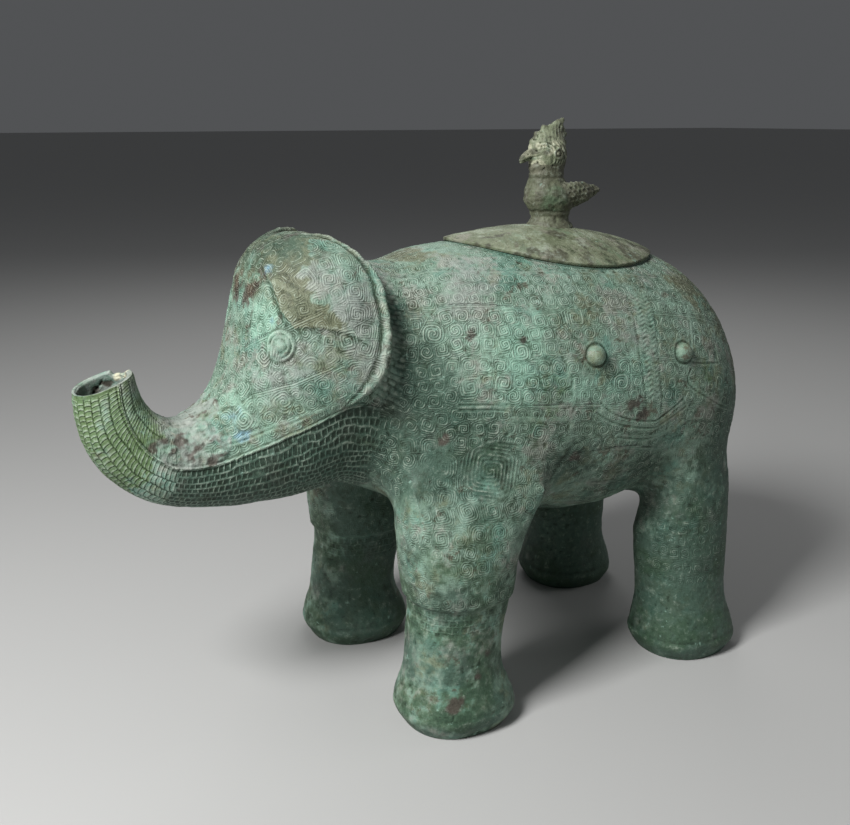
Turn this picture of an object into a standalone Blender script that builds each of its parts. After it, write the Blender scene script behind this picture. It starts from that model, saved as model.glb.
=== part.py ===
"""Elephant-shaped wine vessel of cast bronze, with a loose lid.

The elephant faces -X and stands on Z = 0 with its left side towards -Y. It is one hollow casting,
open at the trunk's mouth and at an oval hole in the back. The lid is a second casting: a curved
plate with a locating flange below and a crested bird as its knob. Both are modelled in metres,
+Z up, with the origin on the ground under the middle of the casting's length.
"""

import bmesh
import bpy
import numpy as np
from mathutils import Matrix, Vector

# Driving dimensions of the vessel, in metres.
LENGTH = 0.5275            # trunk to rump
BACK_HEIGHT = 0.338        # sole to the top of the back
BARREL_WIDTH = 0.228       # across the flanks
WALL = 0.003               # thickness of the casting, soles included
JOINT_EXTRA = 0.0025       # thicker at the legs' joints
HEAD_EXTRA = 0.0015        # thicker round the head and ears
FORE_FOOT_LENGTH = 0.0865  # widest turn of a fore foot, front to back
HIND_FOOT_LENGTH = 0.0835
FORE_SPREAD = 0.164        # between the fore legs' centre lines
HIND_SPREAD = 0.160
KNEE_RIDGE = 0.0025        # step of the sleeve's edge over a fore knee
EAR_LIFT = 0.014           # free edge of the ear above the neck
EAR_THICKNESS = 0.005
EYE_DIAMETER = 0.020
EYE_HEIGHT = 0.0035
BOSS_DIAMETER = 0.015      # domed bosses on the flank
BOSS_HEIGHT = 0.0065
TAIL_LENGTH = 0.105
TAIL_WIDTH = 0.014
TAIL_HEIGHT = 0.0045

# Driving dimensions of the lid, in metres.
LID_LENGTH = 0.172
LID_WIDTH = 0.136
LID_CROWN = 0.005          # extra rise of the plate over the back's own curve
LID_THICKNESS = 0.003
LID_OVERLAP = 0.010        # plate beyond the hole in the back
LID_GAP = 0.0003           # between the plate and the back
FLANGE_DEPTH = 0.009
FLANGE_THICKNESS = 0.003
FLANGE_CLEARANCE = 0.0015  # between the flange and the hole
BIRD_HEIGHT = 0.081

# The figure is drawn on a scheme 527.5 long, 338 high at the back and 228 across, whose units
# follow the driving sizes. X is measured from the fore legs' centre line.
SCHEME = (527.5, 338.0, 228.0)
UNIT = np.array([LENGTH / SCHEME[0], BARREL_WIDTH / SCHEME[2], BACK_HEIGHT / SCHEME[1]])
RUMP_X = 290.5
TAIL_PROUD = 2.9           # tail beyond the rump
MIDDLE_X = RUMP_X + (TAIL_PROUD - SCHEME[0]) / 2

# Sections of the body from the rump to the trunk's mouth: X and Z of the top of the section,
# X and Z of its bottom, half width, and the share of the height at which it is widest.
SECTIONS = np.array([
    (290.5, 212.0, 290.5, 210.0, 0.0, 0.50),
    (286.0, 243.5, 286.0, 180.0, 40.0, 0.42),
    (274.0, 273.5, 274.0, 153.0, 72.5, 0.37),
    (255.0, 298.5, 255.0, 137.0, 93.5, 0.37),
    (231.0, 316.0, 231.0, 128.0, 106.5, 0.41),
    (200.0, 327.0, 200.0, 124.0, 113.0, 0.45),
    (150.0, 335.0, 150.0, 120.0, 114.0, 0.49),
    (100.0, 338.0, 100.0, 122.0, 112.0, 0.50),
    (50.0, 336.0, 50.0, 129.0, 106.0, 0.50),
    (18.0, 333.0, 16.0, 139.0, 93.0, 0.50),
    (-12.0, 326.5, -16.0, 150.0, 77.0, 0.49),
    (-40.0, 333.0, -40.0, 162.0, 65.5, 0.48),
    (-66.0, 348.0, -58.0, 169.0, 64.5, 0.50),
    (-92.0, 349.5, -74.0, 168.5, 62.5, 0.49),
    (-112.0, 336.0, -89.0, 166.0, 57.5, 0.47),
    (-121.0, 310.0, -105.0, 164.5, 50.0, 0.47),
    (-128.0, 282.0, -121.0, 164.5, 44.0, 0.46),
    (-136.5, 259.0, -137.0, 165.0, 38.0, 0.46),
    (-149.0, 241.5, -154.0, 166.5, 33.5, 0.47),
    (-163.0, 232.5, -171.0, 169.5, 30.5, 0.48),
    (-175.0, 231.0, -188.0, 174.5, 28.5, 0.50),
    (-184.5, 236.0, -204.0, 183.5, 27.0, 0.50),
    (-191.5, 244.0, -219.0, 197.0, 25.0, 0.50),
    (-195.5, 253.0, -230.5, 215.5, 23.5, 0.50),
    (-197.5, 261.5, -236.0, 236.5, 21.8, 0.50),
    (-199.0, 267.5, -237.0, 256.0, 20.5, 0.50),
])
MOUTH = len(SECTIONS) - 1.0
SQUARENESS = 2.2           # exponent of the sections' superellipse
TRUNK_START = 19.0         # station where the face turns into the trunk
POLE_GAP = 0.5             # first ring round the rump's pole, in stations

# Patches of the body that the legs grow from: stations, and angles down from the spine.
HIND_PATCH = (2.3, 5.5)
FORE_PATCH = (7.2, 10.9)
PATCH_OUTER = np.radians(104.0)
PATCH_INNER = np.radians(160.0)

# The ear is a fold of the skin. Its free edge follows a curve round this middle angle.
EAR_MIDDLE = np.radians(56.0)
EAR_HALF_ANGLE = np.radians(47.0)
EAR_STATION = 11.25
EAR_UNDERCUT = 0.55        # how far the fold runs forward under the flap, in stations
EAR_SEAM = 12.75           # station that the fold closes on above and below the ear
EAR_ROOT = 14.6
EAR_NECK = 8.5             # station behind which the rings keep their places
EAR_FLOOR = 225.0          # the joints' smoothing stays below this height at the ear
EAR_REAR = -15.0
EDGE_HALF = 0.05           # half the ear's edge, in stations
EAR_ROUNDING = 0.10

# Legs as sections going down: height, centre X, centre Y, half length and half width. Heights
# and centres are in scheme units, and both half sizes are shares of half the foot's length.
FORE_LEG = (
    (118.0, 4.5, 79.0, 0.925, 0.850),
    (90.0, 3.5, 80.0, 0.836, 0.801),
    (74.0, 1.0, 80.5, 0.806, 0.778),
    (56.0, -1.0, 81.5, 0.798, 0.775),
    (40.0, -1.5, 82.0, 0.826, 0.808),
    (25.0, -0.5, 82.0, 0.953, 0.917),
    (14.0, 0.0, 82.0, 1.000, 0.965),
    (6.0, 0.0, 82.0, 0.942, 0.905),
    (0.0, 0.0, 82.0, 0.860, 0.823),
)
HIND_LEG = (
    (112.0, 219.5, 77.0, 0.880, 0.850),
    (84.0, 220.5, 77.5, 0.876, 0.828),
    (56.0, 221.5, 78.5, 0.854, 0.813),
    (40.0, 223.0, 79.5, 0.875, 0.841),
    (25.0, 224.5, 80.0, 0.960, 0.925),
    (14.0, 225.0, 80.0, 1.000, 0.965),
    (6.0, 225.0, 80.0, 0.947, 0.908),
    (0.0, 225.0, 80.0, 0.868, 0.830),
)
FORE = (FORE_LEG, FORE_FOOT_LENGTH, FORE_SPREAD, 164.0)
HIND = (HIND_LEG, HIND_FOOT_LENGTH, HIND_SPREAD, 160.0)
LEG_SQUARENESS = 2.25
KNEE_HEIGHT = 97.0
KNEE_EDGE = 0.9            # half the height over which the sleeve steps in
SHOULDER_BULGE = (0.010, 0.001)   # swell of a fore leg's joint, forwards and sideways
THIGH_BULGE = (0.0, 0.001)
CORE_SWELL = 0.5           # share of the joints' swell that the hollow follows

# Relief set on the skin: station and angle of its middle.
EYE_PLACE = (14.56, np.radians(61.0))
BOSS_PLACES = ((6.98, np.radians(73.4)), (5.40, np.radians(72.4)))
TAIL_TOP = 3.3             # station on the spine where the tail starts
MOUTH_CHIP = (0.013, 0.003)           # length and depth of the chip in the trunk's rim
MOUTH_CHIP_ANGLE = np.radians(38.0)
MOUTH_OVERRUN = 4.0        # how far the hollow is cut out past the mouth, in walls
TRUNK_X = -180.0           # the mouth is ahead of this

# Place of the lid: middle of its oval, in scheme units, and the shares that shape the bird.
LID_X = 134.5
LID_STATIONS = (1.0, 8.5)  # stretch of the back that can carry the lid
BIRD_X = 134.5
# Bird from foot to crest, drawn 80 high: height above the lid, middle X from the bird's place,
# half length and half width.
BIRD_SCHEME = 80.0
BIRD_SECTIONS = (
    (0.0, 0.0, 18.5, 17.0),
    (4.0, 0.5, 15.5, 14.0),
    (8.0, 1.0, 14.8, 13.5),
    (12.0, 1.0, 17.5, 14.5),
    (17.0, 1.0, 20.5, 16.5),
    (23.0, 0.5, 21.5, 17.0),
    (28.5, -1.0, 18.5, 15.0),
    (34.0, -2.5, 15.0, 12.0),
    (40.0, -3.0, 13.8, 11.0),
    (47.0, -2.5, 15.2, 11.8),
    (55.0, -2.5, 16.3, 12.0),
    (62.0, -3.0, 15.0, 9.0),
    (68.0, -1.0, 12.5, 5.5),
    (73.0, 3.0, 9.0, 3.6),
    (77.5, 7.5, 4.6, 2.4),
    (80.0, 10.5, 1.6, 1.2),
)
# Tail and beak as sections away from the body: X, height, half height and half width.
BIRD_TAIL = ((8.0, 22.0, 10.5, 13.0), (20.0, 21.5, 9.0, 12.0), (30.0, 22.0, 6.5, 10.0),
             (39.0, 23.5, 4.2, 7.0), (46.0, 25.0, 1.8, 3.5))
BIRD_BEAK = ((-9.0, 54.0, 6.5, 6.0), (-19.0, 53.0, 4.5, 3.6), (-24.5, 51.0, 3.2, 2.4),
             (-28.5, 48.5, 1.3, 1.0))

# Faces spent on each surface: rings along the body's stretches, columns from spine to belly
# split at the leg patches, rings from a patch to its leg, and rounds of smoothing at the joints.
OUTER_DETAIL = {"rings": (4, 6, 3, 7, 3), "fold": (2, 1, 3), "face": 5, "trunk": 7,
                "columns": (8, 4, 2), "joint": 5, "rounds": 5}
CORE_DETAIL = {"rings": (3, 5, 2, 6, 3), "fold": (1, 1, 2), "face": 4, "trunk": 7,
               "columns": (5, 3, 1), "joint": 4, "rounds": 3}
HEAD_RUN = (-195.0, -165.0, -70.0, -40.0)   # X over which the extra at the head comes and goes
JOINT_REACH = 0.030        # smoothing reaches this far from a patch's rim
SMOOTH_RATE = 0.6
BIRD_SIDES = 12
BIRD_LIMB_SIDES = 8
LID_SIDES = 36
LID_RINGS = (0.5, 0.82, 1.0)   # rings of the plate, as shares of its half size
DOME_SIDES = 10
TAIL_RINGS = 9
MERGE = 0.00001
SHARP_ANGLE = np.radians(38.0)
VESSEL_COLOUR = (0.22, 0.34, 0.27, 1.0)
LID_COLOUR = (0.24, 0.29, 0.20, 1.0)
PATINA_METALLIC = 0.25


def bends(rows):
    """Second differences of the natural cubic spline through rows set at whole numbers."""
    count = len(rows)
    system = np.eye(count)
    inner = np.arange(1, count - 1)
    system[inner, inner - 1] = 1.0
    system[inner, inner] = 4.0
    system[inner, inner + 1] = 1.0
    right = np.zeros_like(rows)
    right[1:-1] = 6.0 * (rows[2:] - 2.0 * rows[1:-1] + rows[:-2])
    return np.linalg.solve(system, right)


SECTION_BENDS = bends(SECTIONS)


def section(station):
    """Section at a station, or at each of an array of stations, read from the spline."""
    low = np.clip(np.floor(station).astype(int), 0, len(SECTIONS) - 2)
    after = (station - low)[..., None]
    before = 1.0 - after
    return (before * SECTIONS[low] + after * SECTIONS[low + 1]
            + (before ** 3 - before) * SECTION_BENDS[low] / 6.0
            + (after ** 3 - after) * SECTION_BENDS[low + 1] / 6.0)


def signed_power(value, exponent):
    return np.sign(value) * np.abs(value) ** exponent


def skin(station, angle):
    """Point of the bare skin: a superellipse section, turned by an angle down from the spine."""
    top_x, top_z, low_x, low_z, half, waist = np.moveaxis(section(station), -1, 0)
    mid_x = low_x + (top_x - low_x) * waist
    mid_z = low_z + (top_z - low_z) * waist
    rise = signed_power(np.cos(angle), 2.0 / SQUARENESS)
    reach = signed_power(np.sin(angle), 2.0 / SQUARENESS)
    x = mid_x + np.where(rise > 0.0, top_x - mid_x, mid_x - low_x) * rise
    z = mid_z + np.where(rise > 0.0, top_z - mid_z, mid_z - low_z) * rise
    return np.stack([x - MIDDLE_X, -half * reach, z], axis=-1) * UNIT


def outward(station, angle, step=1e-3):
    """Unit normal of the bare skin, from its central differences."""
    angle = np.clip(angle, 2.0 * step, np.pi - 2.0 * step)
    station = np.clip(station, 0.02, MOUTH - 2.0 * step)
    along = skin(station + step, angle) - skin(station - step, angle)
    around = skin(station, angle + step) - skin(station, angle - step)
    normal = np.cross(along, around)
    return normal / np.linalg.norm(normal, axis=-1, keepdims=True)


def stretch(start, end, count):
    return np.linspace(start, end, count, endpoint=False)


def scheme_x(x):
    return (x - MIDDLE_X) * UNIT[0]


def body_grid(detail, with_ear):
    """Points of the left half of the body, rings by columns, with the ear folded out of it.

    Behind the ear the rings run forward under the flap, back along its rear face, round its
    edge and forward again over its front. The fold's share falls to nothing at the ear's ends.
    """
    upper, middle, lower = detail["columns"]
    angle = np.concatenate([stretch(0.0, PATCH_OUTER, upper),
                            stretch(PATCH_OUTER, PATCH_INNER, middle),
                            np.linspace(PATCH_INNER, np.pi, lower + 1)])[None, :]
    stops = (POLE_GAP,) + HIND_PATCH + FORE_PATCH + (EAR_SEAM,)
    rear = np.concatenate([stretch(*span) for span in zip(stops[:-1], stops[1:], detail["rings"])])
    rear = rear[:, None]

    along_ear = (angle - EAR_MIDDLE) / EAR_HALF_ANGLE
    away = np.clip(np.abs(along_ear), 0.0, 1.0)
    share = (1.0 - away ** np.where(along_ear < 0.0, 2, 4)) * float(with_ear)
    edge = EAR_STATION + np.where(along_ear < 0.0, 1.9 * away ** 2.6, 1.5 * away ** 3.5)
    seam = edge - EDGE_HALF + share * EAR_UNDERCUT
    moved = EAR_NECK + (rear - EAR_NECK) / (EAR_SEAM - EAR_NECK) * (seam - EAR_NECK)
    stations = [np.where(rear < EAR_NECK, rear + 0.0 * angle, moved)]
    lifts = [0.0 * stations[0]]

    rear_lift = EAR_LIFT - EAR_THICKNESS
    back, rim, front = (stretch(0.0, 1.0, count)[:, None] for count in detail["fold"])
    stations.append(seam + (edge - seam) * back)
    lifts.append(share * rear_lift * back ** 0.8)
    stations.append(edge + EDGE_HALF * rim - EAR_ROUNDING * share * np.sin(np.pi * rim))
    lifts.append(share * (rear_lift + EAR_THICKNESS * rim))
    stations.append(edge + EDGE_HALF + (EAR_ROOT - edge - EDGE_HALF) * front)
    lifts.append(share * EAR_LIFT * (1.0 - front) ** 1.6)
    for run in (stretch(EAR_ROOT, TRUNK_START, detail["face"]),
                np.linspace(TRUNK_START, MOUTH, detail["trunk"] + 1)):
        stations.append(run[:, None] + 0.0 * angle)
        lifts.append(0.0 * stations[-1])

    station = np.vstack(stations)
    angle = angle + 0.0 * station
    points = skin(station, angle) + outward(station, angle) * np.vstack(lifts)[..., None]
    points[:, [0, -1], 1] = 0.0
    return points


def leg_rings(leg, turn, ridge):
    """Closed sections of a leg going down. A ridge adds the sleeve that ends over the knee.

    Each section is a superellipse whose turn runs from +X towards the outer side.
    """
    rows, foot_length, spread, scheme_spread = leg
    table = np.array(rows)
    if ridge:
        edge = np.array([KNEE_HEIGHT + KNEE_EDGE, KNEE_HEIGHT - KNEE_EDGE])
        extra = np.stack([np.interp(-edge, -table[:, 0], column) for column in table.T], axis=-1)
        table = np.concatenate([table, extra])
        table = table[np.argsort(-table[:, 0])]
    height, mid_x, mid_y, length_share, width_share = (column[:, None] for column in table.T)
    sleeve = np.where(height > KNEE_HEIGHT, KNEE_RIDGE, 0.0) * float(ridge)
    half_length = length_share * foot_length / 2.0 + sleeve
    half_width = width_share * foot_length / 2.0 + sleeve
    exponent = 2.0 / LEG_SQUARENESS
    x = scheme_x(mid_x) + half_length * signed_power(np.cos(turn), exponent)
    y = mid_y / scheme_spread * spread + half_width * signed_power(np.sin(turn), exponent)
    return np.stack([x, -y, height * UNIT[2] + 0.0 * x], axis=-1)


def leg_tube(grid, rim, rings, bulge, count):
    """Rings from a patch's rim to the sole: a Hermite blend down to the leg's first section.

    The blend leaves the rim along the skin, meets the leg along its own side, and swells by
    the bulge half way.
    """
    start = grid[rim["row"], rim["column"]]
    leave = start - grid[rim["row"] + rim["row_step"], rim["column"] + rim["column_step"]]
    leave = leave / np.linalg.norm(leave, axis=-1, keepdims=True)
    meet = rings[1] - rings[0]
    meet = meet / np.linalg.norm(meet, axis=-1, keepdims=True)
    reach = np.linalg.norm(rings[0] - start, axis=-1, keepdims=True)
    t = stretch(0.0, 1.0, count)[1:, None, None]
    blend = ((2 * t ** 3 - 3 * t ** 2 + 1) * start + (t ** 3 - 2 * t ** 2 + t) * leave * reach * 1.2
             + (3 * t ** 2 - 2 * t ** 3) * rings[0] + (t ** 3 - t ** 2) * meet * reach)
    return np.concatenate([blend + bulge * np.sin(np.pi * t) ** 2, rings])


def patch_rim(rows, columns):
    """Rim of a patch in the body's grid, from its rear outer corner forward and round.

    Gives the rim's rows and columns, the step to the neighbour outside the patch, and the
    turn of the leg section that each point goes to.
    """
    (row_0, row_1), (column_0, column_1) = rows, columns
    long, short = row_1 - row_0, column_1 - column_0
    row = np.concatenate([np.arange(row_0, row_1), np.full(short, row_1),
                          np.arange(row_1, row_0, -1), np.full(short, row_0)])
    column = np.concatenate([np.full(long, column_0), np.arange(column_0, column_1),
                             np.full(long, column_1), np.arange(column_1, column_0, -1)])
    corners = np.radians([45.0, 135.0, 225.0, 315.0, 405.0])
    turn = np.concatenate([stretch(a, b, n) for a, b, n
                           in zip(corners[:-1], corners[1:], (long, short, long, short))])
    return {"row": row, "column": column, "turn": turn,
            "row_step": np.where(row == row_1, 1, 0) - np.where(row == row_0, 1, 0),
            "column_step": np.where(column == column_1, 1, 0) - np.where(column == column_0, 1, 0)}


def smooth(points, faces, weight, rounds):
    """Moves each point towards the mean of its neighbours, by its weight, in some rounds."""
    pairs = np.array([(a, b) for face in faces for a, b in zip(face, face[1:] + face[:1])])
    pairs = np.concatenate([pairs, pairs[:, ::-1]])
    count = np.bincount(pairs[:, 0], minlength=len(points))[:, None]
    for _ in range(rounds):
        total = np.zeros_like(points)
        np.add.at(total, pairs[:, 0], points[pairs[:, 1]])
        points = points + weight[:, None] * (total / count - points)
    return points


def half_casting(detail, outer):
    """Points and faces of the casting's left half, closed but for the plane between halves.

    Also gives each point's nearness to a leg's joint, from 0 to 1.
    """
    grid = body_grid(detail, outer)
    rows, columns = grid.shape[:2]
    index = np.arange(rows * columns).reshape(rows, columns)
    marks = np.cumsum(detail["rings"])
    patch_columns = (detail["columns"][0], detail["columns"][0] + detail["columns"][1])
    patches = (((marks[0], marks[1]), HIND, THIGH_BULGE, False),
               ((marks[2], marks[3]), FORE, SHOULDER_BULGE, outer))
    cut = np.zeros((rows - 1, columns - 1), dtype=bool)
    points = [grid.reshape(-1, 3)]
    total = rows * columns
    faces = []
    rims = []
    for patch_rows, leg, swell, ridge in patches:
        cut[patch_rows[0]:patch_rows[1], patch_columns[0]:patch_columns[1]] = True
        rim = patch_rim(patch_rows, patch_columns)
        turn = rim["turn"]
        forward = np.clip(-np.cos(turn), 0.0, 1.0) * np.clip(0.5 + np.sin(turn), 0.0, 1.0)
        side = np.clip(np.sin(turn), 0.0, 1.0)
        bulge = np.stack([-swell[0] * forward, -swell[1] * side, 0.0 * turn], axis=-1)
        bulge = bulge if outer else CORE_SWELL * bulge
        rings = leg_rings(leg, turn, ridge)
        tube = leg_tube(grid, rim, rings, bulge, detail["joint"])
        rims.append(grid[rim["row"], rim["column"]])
        loop = index[rim["row"], rim["column"]]
        around = len(loop)
        for ring in tube:
            below = total + np.arange(around)
            faces += np.stack([loop, np.roll(loop, -1), np.roll(below, -1), below], -1).tolist()
            points.append(ring)
            total += around
            loop = below
        points.append(tube[-1].mean(axis=0, keepdims=True))
        faces += [[a, b, total] for a, b in zip(loop.tolist(), np.roll(loop, -1).tolist())]
        total += 1
    quads = np.stack([index[:-1, :-1], index[1:, :-1], index[1:, 1:], index[:-1, 1:]], -1)
    faces = quads[~cut].tolist() + faces

    pole = skin(np.array(0.0), np.array(0.0))
    mouth = grid[-1, [0, -1]].mean(axis=0)
    points += [pole[None], mouth[None]]
    faces += [[total, a, b] for a, b in zip(index[0, :-1].tolist(), index[0, 1:].tolist())]
    faces += [[a, total + 1, b] for a, b in zip(index[-1, :-1].tolist(), index[-1, 1:].tolist())]

    used = np.unique(np.concatenate(faces))
    number = np.zeros(total + 2, dtype=int)
    number[used] = np.arange(len(used))
    faces = [number[face].tolist() for face in faces]
    points = np.concatenate(points)[used]
    gap = np.min(np.linalg.norm(points[:, None] - np.concatenate(rims)[None], axis=-1), axis=1)
    near = np.clip(1.0 - gap / JOINT_REACH, 0.0, 1.0)
    at_ear = (points[:, 0] < scheme_x(EAR_REAR)) & (points[:, 2] > EAR_FLOOR * UNIT[2])
    on_plane = points[:, 1] == 0.0
    points = smooth(points, faces, np.where(at_ear, 0.0, near) * SMOOTH_RATE, detail["rounds"])
    points[on_plane, 1] = 0.0
    return points, faces, near


def back_height(x, y):
    """Height of the bare back over a plan point, where the sections stand upright."""
    station = np.linspace(LID_STATIONS[0], LID_STATIONS[1], 400)
    top_x, top_z, _, low_z, half, waist = section(station).T
    order = np.argsort(top_x)
    along = (x / UNIT[0]) + MIDDLE_X
    top, low, side, share = (np.interp(along, top_x[order], column[order])
                             for column in (top_z, low_z, half, waist))
    middle = low + (top - low) * share
    across = np.clip(np.abs(y) / (side * UNIT[1]), 0.0, 0.999)
    rise = (1.0 - across ** SQUARENESS) ** (1.0 / SQUARENESS)
    return (middle + (top - middle) * rise) * UNIT[2]


def add_object(name, points, faces, collection):
    mesh = bpy.data.meshes.new(name)
    mesh.from_pydata([tuple(point) for point in np.asarray(points)], [], faces)
    mesh.validate()
    mesh.update()
    piece = bpy.data.objects.new(name, mesh)
    collection.objects.link(piece)
    return piece


def as_tool(piece):
    """Marks a cutter or an added form, which shapes a casting and is no part of its own."""
    piece.hide_render = True
    piece.display_type = "WIRE"
    return piece


def mirrored(piece):
    mirror = piece.modifiers.new("halves", "MIRROR")
    mirror.use_axis = (False, True, False)
    mirror.merge_threshold = MERGE
    return piece


def boolean(piece, operation, tool):
    """Boolean with one tool, or with every tool of a collection."""
    cut = piece.modifiers.new(tool.name, "BOOLEAN")
    cut.operation = operation
    cut.solver = "EXACT"
    if isinstance(tool, bpy.types.Collection):
        cut.operand_type = "COLLECTION"
        cut.collection = tool
    else:
        cut.object = tool


def sunk_in(points, faces, depth):
    """Moves a closed surface inwards by each point's depth, evenly across its creases."""
    shape = bmesh.new()
    corners = [shape.verts.new(point) for point in points]
    for face in faces:
        shape.faces.new([corners[corner] for corner in face])
    shape.normal_update()
    moved = [corner.co - corner.normal * (sink * corner.calc_shell_factor())
             for corner, sink in zip(corners, depth.tolist())]
    shape.free()
    return np.array(moved)


def dome(name, collection, middle, normal, diameter, height):
    """Low dome: a sphere flattened along its own axis, half of it sunk in the wall."""
    piece = add_object(name, [], [], collection)
    shape = bmesh.new()
    bmesh.ops.create_uvsphere(shape, u_segments=DOME_SIDES, v_segments=DOME_SIDES // 2, radius=1.0)
    turn = Vector(normal).to_track_quat("Z", "Y").to_matrix().to_4x4()
    size = Matrix.Diagonal((diameter / 2.0, diameter / 2.0, height, 1.0))
    shape.transform(Matrix.Translation(middle) @ turn @ size)
    shape.to_mesh(piece.data)
    shape.free()
    return as_tool(piece)


def tube_faces(count, sides):
    """Faces of a closed tube of rings, the first and the last closed by a face each."""
    ring = np.arange(count * sides).reshape(count, sides)
    on = np.roll(ring, -1, axis=1)
    walls = np.stack([ring[:-1], on[:-1], on[1:], ring[1:]], axis=-1).reshape(-1, 4).tolist()
    return walls + [ring[0, ::-1].tolist(), ring[-1].tolist()]


def tail_form(collection):
    """Low tail down the rump: rings along the skin of the middle plane, widest near the tip."""
    run = np.linspace(TAIL_TOP, -TAIL_TOP, 200)
    path = np.where(run[:, None] > 0.0, skin(np.abs(run), 0.0 * run), skin(np.abs(run), np.pi + 0.0 * run))
    walked = np.concatenate([[0.0], np.cumsum(np.linalg.norm(np.diff(path, axis=0), axis=1))])
    share = np.linspace(0.0, 1.0, TAIL_RINGS)
    middle = np.stack([np.interp(share * TAIL_LENGTH, walked, column) for column in path.T], -1)
    ahead = np.gradient(middle, axis=0)
    ahead = ahead / np.linalg.norm(ahead, axis=1, keepdims=True)
    off = np.stack([-ahead[:, 2], 0.0 * share, ahead[:, 0]], axis=-1)
    girth = np.sqrt(np.clip(1.0 - (2.0 * share - 1.0) ** 8, 0.02, 1.0)) * (0.75 + 0.25 * share)
    turn = stretch(0.0, 2.0 * np.pi, BIRD_LIMB_SIDES)
    rings = (middle[:, None] + off[:, None] * (girth[:, None] * np.sin(turn) * TAIL_HEIGHT)[..., None])
    rings[..., 1] = girth[:, None] * np.cos(turn) * TAIL_WIDTH / 2.0
    return as_tool(add_object("tail_form", rings.reshape(-1, 3),
                              tube_faces(TAIL_RINGS, BIRD_LIMB_SIDES), collection))


def relief_forms(collection):
    """Eyes, bosses and tail, each partly sunk in the wall that it was cast with."""
    places = [("eye_form", EYE_PLACE, EYE_DIAMETER, EYE_HEIGHT)]
    places += [(f"boss_form_{number}", place, BOSS_DIAMETER, BOSS_HEIGHT)
               for number, place in enumerate(BOSS_PLACES, start=1)]
    for name, (station, angle), diameter, height in places:
        middle = skin(np.array(station), np.array(angle))
        normal = outward(np.array(station), np.array(angle))
        for side, word in ((1.0, "left"), (-1.0, "right")):
            flip = np.array([1.0, side, 1.0])
            dome(f"{name}_{word}", collection, middle * flip, normal * flip, diameter, height)
    tail_form(collection)


def hollow_core(collection):
    """The space inside: the bare skin sunk in by the wall and run out through the mouth."""
    skin_points, faces, near_joint = half_casting(CORE_DETAIL, False)
    at_head = np.interp(skin_points[:, 0], scheme_x(np.array(HEAD_RUN)), (0.0, 1.0, 1.0, 0.0))
    points = sunk_in(skin_points, faces, WALL + JOINT_EXTRA * near_joint + HEAD_EXTRA * at_head)
    points[skin_points[:, 1] == 0.0, 1] = 0.0
    top, low = skin(np.array(MOUTH), np.array([0.0, np.pi]))
    out = np.cross(top - low, (0.0, 1.0, 0.0))
    out = out / np.linalg.norm(out)
    at_mouth = np.abs((skin_points - low) @ out) < MERGE
    points[at_mouth & (skin_points[:, 0] < scheme_x(TRUNK_X))] += out * WALL * MOUTH_OVERRUN
    return as_tool(mirrored(add_object("hollow_core", points, faces, collection)))


def oval(half_length, half_width, sides):
    turn = stretch(0.0, 2.0 * np.pi, sides)
    return scheme_x(LID_X) + half_length * np.cos(turn), half_width * np.sin(turn)


def lid_underside(x, y):
    """The plate follows the back's curve and is crowned a little more towards its middle."""
    across = ((x - scheme_x(LID_X)) / (LID_LENGTH / 2.0)) ** 2 + (y / (LID_WIDTH / 2.0)) ** 2
    return back_height(x, y) + LID_GAP + LID_CROWN * np.clip(1.0 - across, 0.0, 1.0)


def back_opening(collection):
    """Upright oval cutter for the hole in the back."""
    x, y = oval(LID_LENGTH / 2.0 - LID_OVERLAP, LID_WIDTH / 2.0 - LID_OVERLAP, LID_SIDES)
    low = np.stack([x, y, np.full(LID_SIDES, BACK_HEIGHT * 0.8)], axis=-1)
    high = low + np.array([0.0, 0.0, BACK_HEIGHT * 0.3])
    return as_tool(add_object("back_opening", np.concatenate([low, high]),
                              tube_faces(2, LID_SIDES), collection))


def mouth_chip(collection):
    """Small bite out of the far side of the trunk's rim."""
    place = skin(np.array(MOUTH), np.array(MOUTH_CHIP_ANGLE)) * np.array([1.0, -1.0, 1.0])
    length, depth = MOUTH_CHIP
    along = skin(np.array(MOUTH), np.array([MOUTH_CHIP_ANGLE - 0.1, MOUTH_CHIP_ANGLE + 0.1]))
    along = (along[1] - along[0]) * np.array([1.0, -1.0, 1.0])
    return dome("mouth_chip", collection, place, along, depth * 2.0, length / 2.0)


def lid_plate(collection):
    """Open oval sheet over the back, thickened upwards."""
    shares = np.array(LID_RINGS)[:, None]
    x, y = oval(LID_LENGTH / 2.0, LID_WIDTH / 2.0, LID_SIDES)
    x = np.append(scheme_x(LID_X) + shares * (x - scheme_x(LID_X)), scheme_x(LID_X))
    y = np.append(shares * y, 0.0)
    middle = len(x) - 1
    ring = np.arange(middle).reshape(len(LID_RINGS), LID_SIDES)
    on = np.roll(ring, -1, axis=1)
    faces = np.stack([ring[:-1], ring[1:], on[1:], on[:-1]], axis=-1).reshape(-1, 4).tolist()
    faces += [[middle, a, b] for a, b in zip(ring[0].tolist(), on[0].tolist())]
    points = np.stack([x, y, lid_underside(x, y)], axis=-1)
    plate = add_object("lid", points, faces, collection)
    thicken = plate.modifiers.new("thickness", "SOLIDIFY")
    thicken.thickness = LID_THICKNESS
    thicken.offset = 1.0
    thicken.use_even_offset = True
    return plate


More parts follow.
